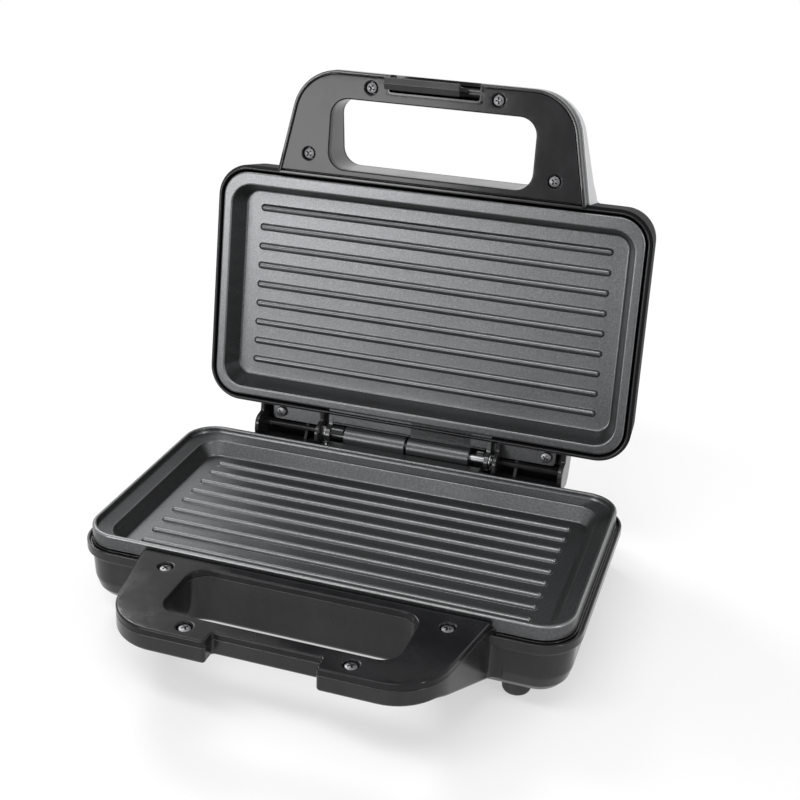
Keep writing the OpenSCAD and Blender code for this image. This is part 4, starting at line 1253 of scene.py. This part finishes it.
@dataclass
class Hinge:
    """Two barrels on one pin, between the lid plate's lugs."""

    y: float = HINGE_Y
    z: float = HINGE_Z
    barrel_r: float = 5.25
    pin_r: float = 2.5
    play: float = 0.05

    def tube(self, x0: float, x1: float, outer: float, play: float, edge: float) -> Shell:
        """A tube on the pin, with its ends rounded and some play round the pin."""
        return bar_x(x0, x1, outer, self.y, self.z, edge, self.pin_r + play)

    def arc(self, r: float, angles: Array) -> Array:
        """Points (y, z) of a circle about the pin."""
        return np.stack([self.y + r * np.cos(angles), self.z + r * np.sin(angles)], 1)

    def trough(self) -> Shell:
        """The trough that the barrels lie in, with the shelf before it and its back wall."""
        angles = np.linspace(math.atan2(-2.2, -5.3), math.atan2(-4.9, 3.0), 14)
        front = [[61.0, 45.8], [61.0, 39.95], [76.2, 39.95], [76.25, 42.7]]
        trough = np.concatenate([front, self.arc(5.75, angles)[::-1]])
        return along_x([trough], -41.7, 41.7, 0.25).join(
            rail(box_corners(61.0, 40.0, 66.0, 44.8, 0, 0.5, 0.7, 0), -46.5, 46.5),
            rail([(76.0, 36.0, 0), (79.0, 36.0, 0.4), (79.0, 43.7, 0.4), (77.95, 43.7, 0.2),
                  (77.0, 42.6, 0.4), (76.0, 42.0, 0.2)], -46.8, 46.8, 0.3))

    def flange(self) -> Shell:
        """The upper plate's flange, with the flap that curves over the barrels."""
        turn = np.radians(np.linspace(184, 48, 40))
        flap = np.concatenate([self.arc(6.3, turn[::-1]), self.arc(5.65, turn)])
        flange = rail(box_corners(59.0, 48.25, 67.2, 52.15, 0, 0.5, 0.5, 0), -42.6, 42.6, 0.2)
        return flange.join(along_x([flap], -42.3, 42.3, 0.1))

    def lug(self) -> Shell:
        """A lug round the pin and the arm that runs out from it under the ear."""
        lug = rounded_polygon([(59.0, 48.3, 0), (68.4, 48.3, 1), (70.3, 44.3, 2.0),
                               (73.3, 43.2, 3.0), (77.3, 44.4, 3.0), (78.1, 48.0, 3.0),
                               (76.6, 51.8, 2.5), (72.2, 54.2, 1.0), (59.0, 54.2, 0)], 5)
        hole = circle(self.y, self.z, 2.6, 32)[::-1]
        arm = rounded_polygon(box_corners(42.5, 59.0, 78.5, 71.6, 0, 0, 2.0, 0.3), 4)
        return along_x([lug, hole], 42.5, 45.0, 0.3).join(
            Shell().slab([denser(arm, 4)], 52.0, 54.2, 0.3, 0.3, 2))

    def build(self) -> None:
        """Makes the barrels with their tabs, the pin and its rings."""
        barrel = (self.barrel_r, self.play, 0.45)
        tab = rail(box_corners(61.0, 40.2, 72.8, 45.8, 0, 0, 0, 0), -34.3, -0.7, 0.3)
        saddles = rail(box_corners(70.3, 48.6, 76.0, 52.5, 0.5, 0.5, 0.6, 0.8),
                       -42.1, -35.1, 0.5, 4)
        saddles.join(rail(box_corners(73.6, 46.4, 76.4, 52.2, 0.4, 0.4, 0.5, 0.5),
                          37.6, 41.4, 0.4, 4))
        # The barrels wear the darkened copy of the plate coating, painted shade.
        piece("lower_barrel", self.tube(-34.5, -0.5, *barrel), Body.BASE, SHADED_BARREL)
        piece("lower_hinge_tab", tab, Body.BASE, CASTING)
        piece("lower_hinge_trough", self.trough(), Body.BASE, CASTING)
        piece("lower_hinge_saddles", saddles, Body.BASE, CASTING)
        tab = rail(box_corners(59.0, 48.25, 70.0, 52.2, 0, 0.4, 0.8, 0), 0.7, 34.3)
        piece("upper_barrel", self.tube(0.5, 34.5, *barrel), Body.LID, SHADED_BARREL)
        piece("upper_hinge_tab", tab, Body.LID, CASTING)
        piece("upper_hinge_flange", self.flange(), Body.LID, CASTING)
        piece("lid_plate_lugs", both(self.lug()), Body.LID, CASTING)
        rod = bar_x(-46.7, 46.7, self.pin_r, self.y, self.z, 0.6)
        piece("hinge_rod", rod, Body.BASE, PIN, ["hinge_pin"])
        rings = both(self.tube(45.1, 45.9, 4.1, self.play, 0.2))
        piece("hinge_rings", rings, Body.BASE, PIN, ["pin_rings"])


@dataclass
class LidCasing:
    """The lid's shell, the upper handle with its cover, and the two hinge ears."""

    size: tuple = (231.0, 129.0, 17.5, -1.0)
    inner_top: float = 80.8
    outer_top: float = 83.2
    low: float = 44.7
    seat: float = 47.9
    back_round: float = 1.2
    screws: tuple = ((64.5, -75.5), (33.0, -112.0))
    arm_screw: tuple = (73.5, 67.1)
    slot: tuple = (23.5, 9.3)

    def levels(self) -> Array:
        """The shell's wall as (inset, height), from inside its top round its lip to its top."""
        return rounded_polygon([
            (14, 80.8, 0), (9.6, 80.8, 1.5), (5.6, 77.2, 1), (3.9, 71.2, 2), (2.4, 48.6, 0.2),
            (2.4, 47.5, 0.25), (2.15, 47.2, 0.1), (1.2, 47.2, 0.3), (0.0, 48.9, 0.8),
            (1.5, 71.2, 6), (3.2, 77.2, 4), (6.2, 80.8, 3), (10, 83.1, 2), (16, 83.2, 0)], 5)

    def shell(self) -> Shell:
        """The shell as one closed wall."""
        rows = np.stack([ring(self.size, inset, z) for inset, z in self.levels()])
        shell = Shell().grid(rows).fill([rows[0][:, :2]], self.inner_top)
        return shell.fill([rows[-1][:, :2]], self.outer_top)

    def bead(self) -> Shell:
        """The fine bead on the lip: a circle carried round the shell's outline."""
        turn = np.linspace(0, 2 * math.pi, 13)
        return Shell().grid(np.stack([
            ring(self.size, 1.75 - 0.4 * math.cos(a), 47.25 - 0.4 * math.sin(a)) for a in turn]))

    def handle_top(self, grow: float = 0.0) -> Callable[[Array], Array]:
        """The upper handle's upper edge in side view, moved out by the given amount."""
        return soft_line([(-126, 38, 0), (-120 - grow, 49.7, 0),
                          (-117.8 - 0.8 * grow, 54.7 + 0.6 * grow, 6),
                          (-113.5 - 0.5 * grow, 58.2 + 0.87 * grow, 10),
                          (-107 - 0.3 * grow, 60.7 + 0.95 * grow, 20), (-60.0, 72.6 + grow, 0)])

    def handle(self) -> Shell:
        """The upper handle: a rim round the cover's seat, and a sloping back."""
        low, seat, back = self.low, self.seat, self.back_round
        outer = HANDLE.outline(-64.6, -0.7)
        inner = HANDLE.outline(-64.6, -2.3, (self.slot[0] + 2, self.slot[1] + 2))
        top = self.handle_top()
        inset, up, is_low = rounds(0.5, 2.2, 5)
        rows = inset_rows(outer, inset)
        level = np.where(is_low[:, None], low, np.maximum(top(rows), low + 5))
        lip = inset_rows(inner, np.array([-0.3, -0.05, 0]))
        hole = inset_rows(HANDLE.opening(), np.array([0, back * 0.3, back]))
        shell = Shell().grid(lift(rows, level + up[:, None]))
        shell.fill([rows[0], lip[0][::-1]], low)
        shell.grid(np.stack([lift(lip[0], low), lift(lip[1], low + 0.15),
                             lift(lip[2], low + 0.4), lift(lip[2], seat)]))
        shell.fill([lip[2], hole[0]], seat)
        shell.grid(np.stack([lift(hole[0], seat), lift(hole[0], top(hole[0]) - back),
                             lift(hole[1], top(hole[1]) - back * 0.3),
                             lift(hole[2], top(hole[2]))]))
        shell.fill([rows[-1], hole[2]], lambda p: np.maximum(top(p), low + 5), 3.0)
        return shell.carved(self.latch_slot(-126.0, 50.2), self.latch_slot(-117.3, 55.7))

    def latch_slot(self, front: float, top: float) -> Shell:
        """What is cut out of the handle for the latch, from a depth back and up to a height."""
        half, depth = self.slot
        box = box_corners(-half, front, half, -120 + depth, 0, 0, 1, 1)
        return Shell().slab([rounded_polygon(box, 4)], 43.5, top, 0, 0.6, 3)

    def ear(self) -> Shell:
        """The right ear: a shell open underneath, with a rib, a wall and a screw boss."""
        body = rail([(62.0, 47.3, 0), (67.0, 47.3, 1), (69.2, 40.2, 5), (77.6, 40.2, 5),
                     (82.3, 44.5, 5), (82.3, 57, 3), (78.8, 60.5, 3), (62.0, 66, 0)],
                    47.5, 84.5, 0.9, 6, 3)
        inside = np.array([(62.9, 38), (80.1, 38), (80.1, 56), (77.8, 58.2), (62.9, 62.5)], float)
        rib = rail([(62.5, 52.6, 0), (72.5, 52.6, 0.5), (80.5, 49.0, 0.5), (80.5, 58, 0),
                    (62.5, 63.5, 0)], 57.5, 59.1, 0.15, 2)
        wall = rounded_box(33.4, 1.6, 0.3, 73.4, 2) + np.array([66.0, 0.0])
        boss = np.array([[1.6, 60.5], [1.6, 54.4], [3.6, 54.3], [3.8, 54.6], [3.8, 60.5]])
        return body.carved(along_x([inside], 49.7, 82.3, 0.5)).join(
            rib, Shell().slab([wall], 48.4, 59.4, 0.15, 0.1, 2),
            Shell().turned(boss, 32).placed((*self.arm_screw, 0)))

    def cover(self) -> Shell:
        """The upper handle's cover with its screw wells."""
        outline = HANDLE.outline(-65.9, -2.5, (self.slot[0], self.slot[1] + 0.2))
        loops = [outline, HANDLE.opening(), *wells(self.screws)]
        return Shell().slab(loops, self.low, self.seat - 0.05, 0.7, 0.3, 5, 6.0)

    def build(self) -> None:
        """Makes the lid's mouldings and their screws."""
        # The lid shell wears the darkened copy of the casing plastic, painted shade.
        piece("lid_shell", self.shell(), Body.LID, SHADED_SHELL, ["lid_casing"])
        piece("lid_lip_bead", self.bead(), Body.LID, GLOSS)
        piece("lid_handle_body", self.handle(), Body.LID, GLOSS)
        piece("lid_ears", both(self.ear()), Body.LID, GLOSS)
        piece("lid_cover", self.cover(), Body.LID, COVER, ["lid_handle_cover"])
        CrossScrew().build("lid_cover_screws", Body.LID, "lid_handle_screws",
                           pairs(self.screws), 47.5, True)
        CrossScrew(7).build("lid_arm_screws", Body.LID, "lid_ear_screws",
                            pairs([self.arm_screw]), 52.0, True)


@dataclass
class SteelPanel:
    """The bent sheet on the lid: its flat top, its front turn and the cap over the handle."""

    thick: float = 1.2
    side: float = 0.45
    wrap: float = 1.1
    top: float = 84.4
    skirt: float = 51.7
    front: float = -119.2
    lens_at: tuple = (9.0, -42.0)

    def height(self, xy: Array) -> Array:
        """The sheet's upper face: over the handle, up the front turn and across the top."""
        handle = LidCasing().handle_top(self.thick)(xy)
        turn = soft_line([(-66.6, 60, 0), (-64.9, 71.5, 4), (-63.3, 78.0, 4), (-60.2, 82.1, 4),
                          (-55.8, self.top, 5), (-40, self.top, 0)])(xy)
        cap = np.maximum(handle, self.skirt)
        return np.where(xy[..., 1] < -64.9, cap, np.maximum(turn, handle))

    def low(self, xy: Array) -> Array:
        """The lower edge of the sheet's fold: the cap's skirt, then just under the sheet."""
        return np.where(xy[..., 1] < -65.2, self.skirt, self.height(xy) - self.thick)

    def outline(self) -> Array:
        """The plan of the sheet, anticlockwise."""
        y0, half = self.front, HANDLE.side_x(-62, self.side)
        left = [(-102.5, 50.5, 11.5), (-102.5, -52.5, 11.5), (-half, -52.5, 5), (-half, -62, 2),
                (-HANDLE.side_x(y0, self.side), y0, HANDLE.corner - 1)]
        right = [(-x, y, r) for x, y, r in reversed(left)]
        return denser(rounded_polygon(left + right, 14), 1.6)

    def shell(self) -> Shell:
        """The sheet as one closed surface: upper face, rounded fold, skirt and lower face."""
        x, y = self.lens_at
        loops = [self.outline(), HANDLE.opening()]
        loops += [circle(side * x, y, 3.05, 32)[::-1] for side in (-1, 1)]
        shell, upper, lower = Shell(), [], []
        turn = quarter(4)
        for k, loop in enumerate(loops):
            edge = 1.3 if k == 0 else 0.6
            soft = 1 + 2.4 * np.clip((-67 - loop[:, 1]) / 8, 0, 1) * (k == 0)
            inset = np.concatenate([[self.wrap] * 2, [0.3, 0, 0], edge * (1 - np.cos(turn))])
            rows = inset_rows(loop, inset)
            rows[5:] = loop + (rows[5:] - loop) * soft[:, None]
            z = self.height(rows)
            z[0] -= self.thick
            z[1:5] = self.low(loop) + np.array([0.0, 0.0, 0.3, 0.6])[:, None]
            z[4:] = np.maximum(z[4:], self.low(loop) + 0.6)
            z[5:] -= (edge * (1 - np.sin(turn)))[:, None] * soft
            z[1:] = np.maximum.accumulate(z[1:], 0)
            if k:
                plain = [2, 5, 6, 7, 8, 9]
                rows, z = rows[plain], z[plain]
                rows[0], z[0] = loop, self.height(loop) - self.thick
            shell.grid(lift(rows, z))
            lower.append(rows[0])
            upper.append(rows[-1])
        shell.fill(upper, self.height, 3.0)
        return shell.fill(lower, lambda p: self.height(p) - self.thick, 3.0)

    def lens(self, side: int) -> Shell:
        """A domed lens on a lip, with its stem through the sheet."""
        turn = quarter(8)
        dome = np.stack([4.0 * np.cos(turn), self.top + 0.35 + 0.85 * np.sin(turn)], 1)
        stem = [[0, 80.8], [3.0, 80.8], [3.0, self.top], [4.2, 84.42], [4.2, 84.6]]
        lens = Shell().turned(np.concatenate([stem, dome]), 40)
        return lens.placed((side * self.lens_at[0], self.lens_at[1], 0))

    def build(self) -> None:
        """Makes the sheet and its two lenses."""
        piece("steel_sheet", self.shell(), Body.LID, SHEET, ["lid_steel_panel"], 30)
        piece("red_lens", self.lens(-1), Body.LID, RED, ["power_lens"])
        piece("green_lens", self.lens(1), Body.LID, GREEN, ["ready_lens"])


@dataclass
class Latch:
    """The latch on its pin in the upper handle: a plate, a barb and a finger lip."""

    pivot: tuple = (-114.0, 52.2)
    turn_deg: float = 8.0
    x: tuple = (-22.0, 16.5)
    hub: tuple = (23.2, 2.7)
    rod: tuple = (25.6, 1.25)
    ridge: tuple = (-13.5, 8.0, 0.45)
    ridge_at: tuple = (-115.2, 38.3)
    ridge_gap: float = 1.8

    def build(self) -> None:
        """Makes the latch and its pin."""
        shell = rail([
            (-115.2, 52.2, 0), (-115.2, 32.7, 0.5), (-116.2, 31.5, 0.5), (-116.2, 30.2, 0.5),
            (-112.9, 30.2, 0.5), (-110.2, 32.1, 0.4), (-110.2, 32.9, 0.5), (-112.8, 32.9, 0.3),
            (-112.8, 52.2, 0)], *self.x, 0.5, 4, 3)
        shell.join(bar_x(-self.hub[0], *self.hub, *self.pivot, 0.4))
        for k in range(3):
            y, z = self.ridge_at
            shell.join(bar_x(*self.ridge, y, z + self.ridge_gap * k, 0.3))
        flap = shell.moved(lambda p: swing(p, self.pivot, self.turn_deg))
        piece("latch_flap", flap, Body.LATCH, SATIN, ["latch"])
        rod = bar_x(-self.rod[0], *self.rod, *self.pivot, 0.3)
        piece("latch_rod", rod, Body.LID, PIN, ["latch_pin"])


# ---- the studio


@dataclass
class Studio:
    """The camera, the lamps, the world and the floor."""

    eye: tuple = (0.19115, -0.55337, 0.37372)
    azimuth: float = 17.63
    elevation: float = 20.47
    roll: float = 1.96
    lens: float = 61.7
    sensor: float = 36.0
    shift_y: float = -0.125
    clip: tuple = (0.01, 50.0)
    aim: tuple = (0.0, 0.0, 0.1)
    world_light: float = 0.48
    floor_glow: float = 0.52
    floor_r: float = 12.0
    floor_z: float = -0.0003
    lamps: tuple = (("key", (-1.0, 0.9, 1.25), (0.6, 0.6), 13),
                    ("top", (-0.2, -0.75, 1.4), (1.2, 0.3), 10),
                    ("front", (-0.84, -1.67, 0.23), (0.78, 0.44), 14),
                    ("right", (1.5, -0.75, 0.5), (0.15, 0.9), 7),
                    ("back", (0.5, 1.3, 1.0), (1.2, 0.5), 4))

    def camera(self) -> None:
        """Sets the camera by its azimuth, elevation and roll."""
        az, el, ro = (math.radians(v) for v in (self.azimuth, self.elevation, self.roll))
        back = np.array([math.sin(az) * math.cos(el), -math.cos(az) * math.cos(el), math.sin(el)])
        right = np.array([math.cos(az), math.sin(az), 0.0])
        up = np.cross(back, right)
        x = math.cos(ro) * right + math.sin(ro) * up
        y = -math.sin(ro) * right + math.cos(ro) * up
        data = bpy.data.cameras.new("camera")
        data.lens, data.sensor_width, data.shift_y = self.lens, self.sensor, self.shift_y
        data.clip_start, data.clip_end = self.clip
        obj = new_object("camera", data)
        matrix = np.eye(4)
        matrix[:3, 0], matrix[:3, 1], matrix[:3, 2], matrix[:3, 3] = x, y, back, self.eye
        obj.matrix_world = Matrix(matrix.tolist())
        bpy.context.scene.camera = obj

    def lamp(self, name: str, place: tuple, size: tuple, power: float) -> None:
        """An area lamp at a place, turned to the object."""
        data = bpy.data.lights.new(name, "AREA")
        data.shape, data.size, data.size_y, data.energy = "RECTANGLE", *size, power
        obj = new_object(name, data)
        obj.location = place
        toward = Vector(self.aim) - Vector(place)
        obj.rotation_euler = toward.to_track_quat("-Z", "Y").to_euler()

    def seen(self, s: Shader) -> Value:
        """1 for rays that come straight from the camera, or by gloss or glass."""
        path = s.node("ShaderNodeLightPath")
        camera, gloss, glass = (Value(s, path.outputs[f"Is {kind} Ray"])
                                for kind in ("Camera", "Glossy", "Transmission"))
        return (camera + gloss + glass).step(0, 1)

    def floor(self) -> None:
        """A wide pale floor that takes the shadow and is white where nothing shades it."""
        s = Shader("studio_floor")
        s.dress(Base_Color=(0.95, 0.95, 0.95), Roughness=0.9, Specular_IOR_Level=0.0)
        glow = s.node("ShaderNodeEmission", {}, {"Color": (1, 1, 1), "Strength": 1.0})
        x, y = s.axis("X"), s.axis("Y")
        away = ((x * x + y * y) ** 0.5).step(260, 800)
        share = self.seen(s) * (away * (1 - self.floor_glow) + self.floor_glow)
        mix = s.node("ShaderNodeMixShader", {},
                     {0: share, 1: s.surface.outputs[0], 2: glow.outputs[0]})
        s.feed(s.output.inputs["Surface"], mix.outputs[0])
        corners = lift(circle(0, 0, self.floor_r, 64), self.floor_z)
        mesh = bpy.data.meshes.new("studio_floor")
        mesh.from_pydata(corners.tolist(), [], [tuple(range(64))])
        mesh.materials.append(s.material)
        obj = new_object("studio_floor", mesh)

    def world(self) -> None:
        """A world that lights plainly and shows white to the camera and in gloss."""
        world = bpy.data.worlds.new("studio")
        bpy.context.scene.world = world
        world.use_nodes = True
        world.node_tree.nodes.clear()
        s = Shader.__new__(Shader)
        s.tree = world.node_tree
        glow = s.node("ShaderNodeBackground", {}, {"Color": (1, 1, 1)})
        s.feed(glow.inputs["Strength"], self.seen(s) * (1 - self.world_light) + self.world_light)
        s.node("ShaderNodeOutputWorld", {}, {"Surface": glow.outputs[0]})

    def build(self) -> None:
        """Sets the whole studio."""
        bpy.context.scene.view_settings.view_transform = "Standard"
        self.camera()
        self.floor()
        self.world()
        for lamp in self.lamps:
            self.lamp(*lamp)


def main() -> None:
    """Builds the studio, then the toaster from its base to its lid."""
    logging.basicConfig(level=logging.INFO, format="%(name)s: %(message)s")
    Studio().build()
    BaseCasing().build()
    Feet().build()
    CookingPlate("lower_plate", "base_plate", Body.BASE, 232, 125, 16, 0, 46.4, 1,
                 ledge=4.8, slope=1.8).build()
    CookingPlate("upper_plate", "lid_plate", Body.LID, 224, 122, 14, -1, 47.2, -1).build()
    Hinge().build()
    LidCasing().build()
    SteelPanel().build()
    Latch().build()
    kept = {"base_element": HEATER, "lid_element": HEATER, "base_reflector": MIRROR,
            "lid_reflector": MIRROR, "thermostat": CERAMIC, "thermal_fuse": CERAMIC,
            "terminal_block": CERAMIC, "lamp_board": BOARD, "lid_plate_screws": SCREW}
    for name, finish in kept.items():
        dress_node(name, finish)


if __name__ == "__main__":
    main()
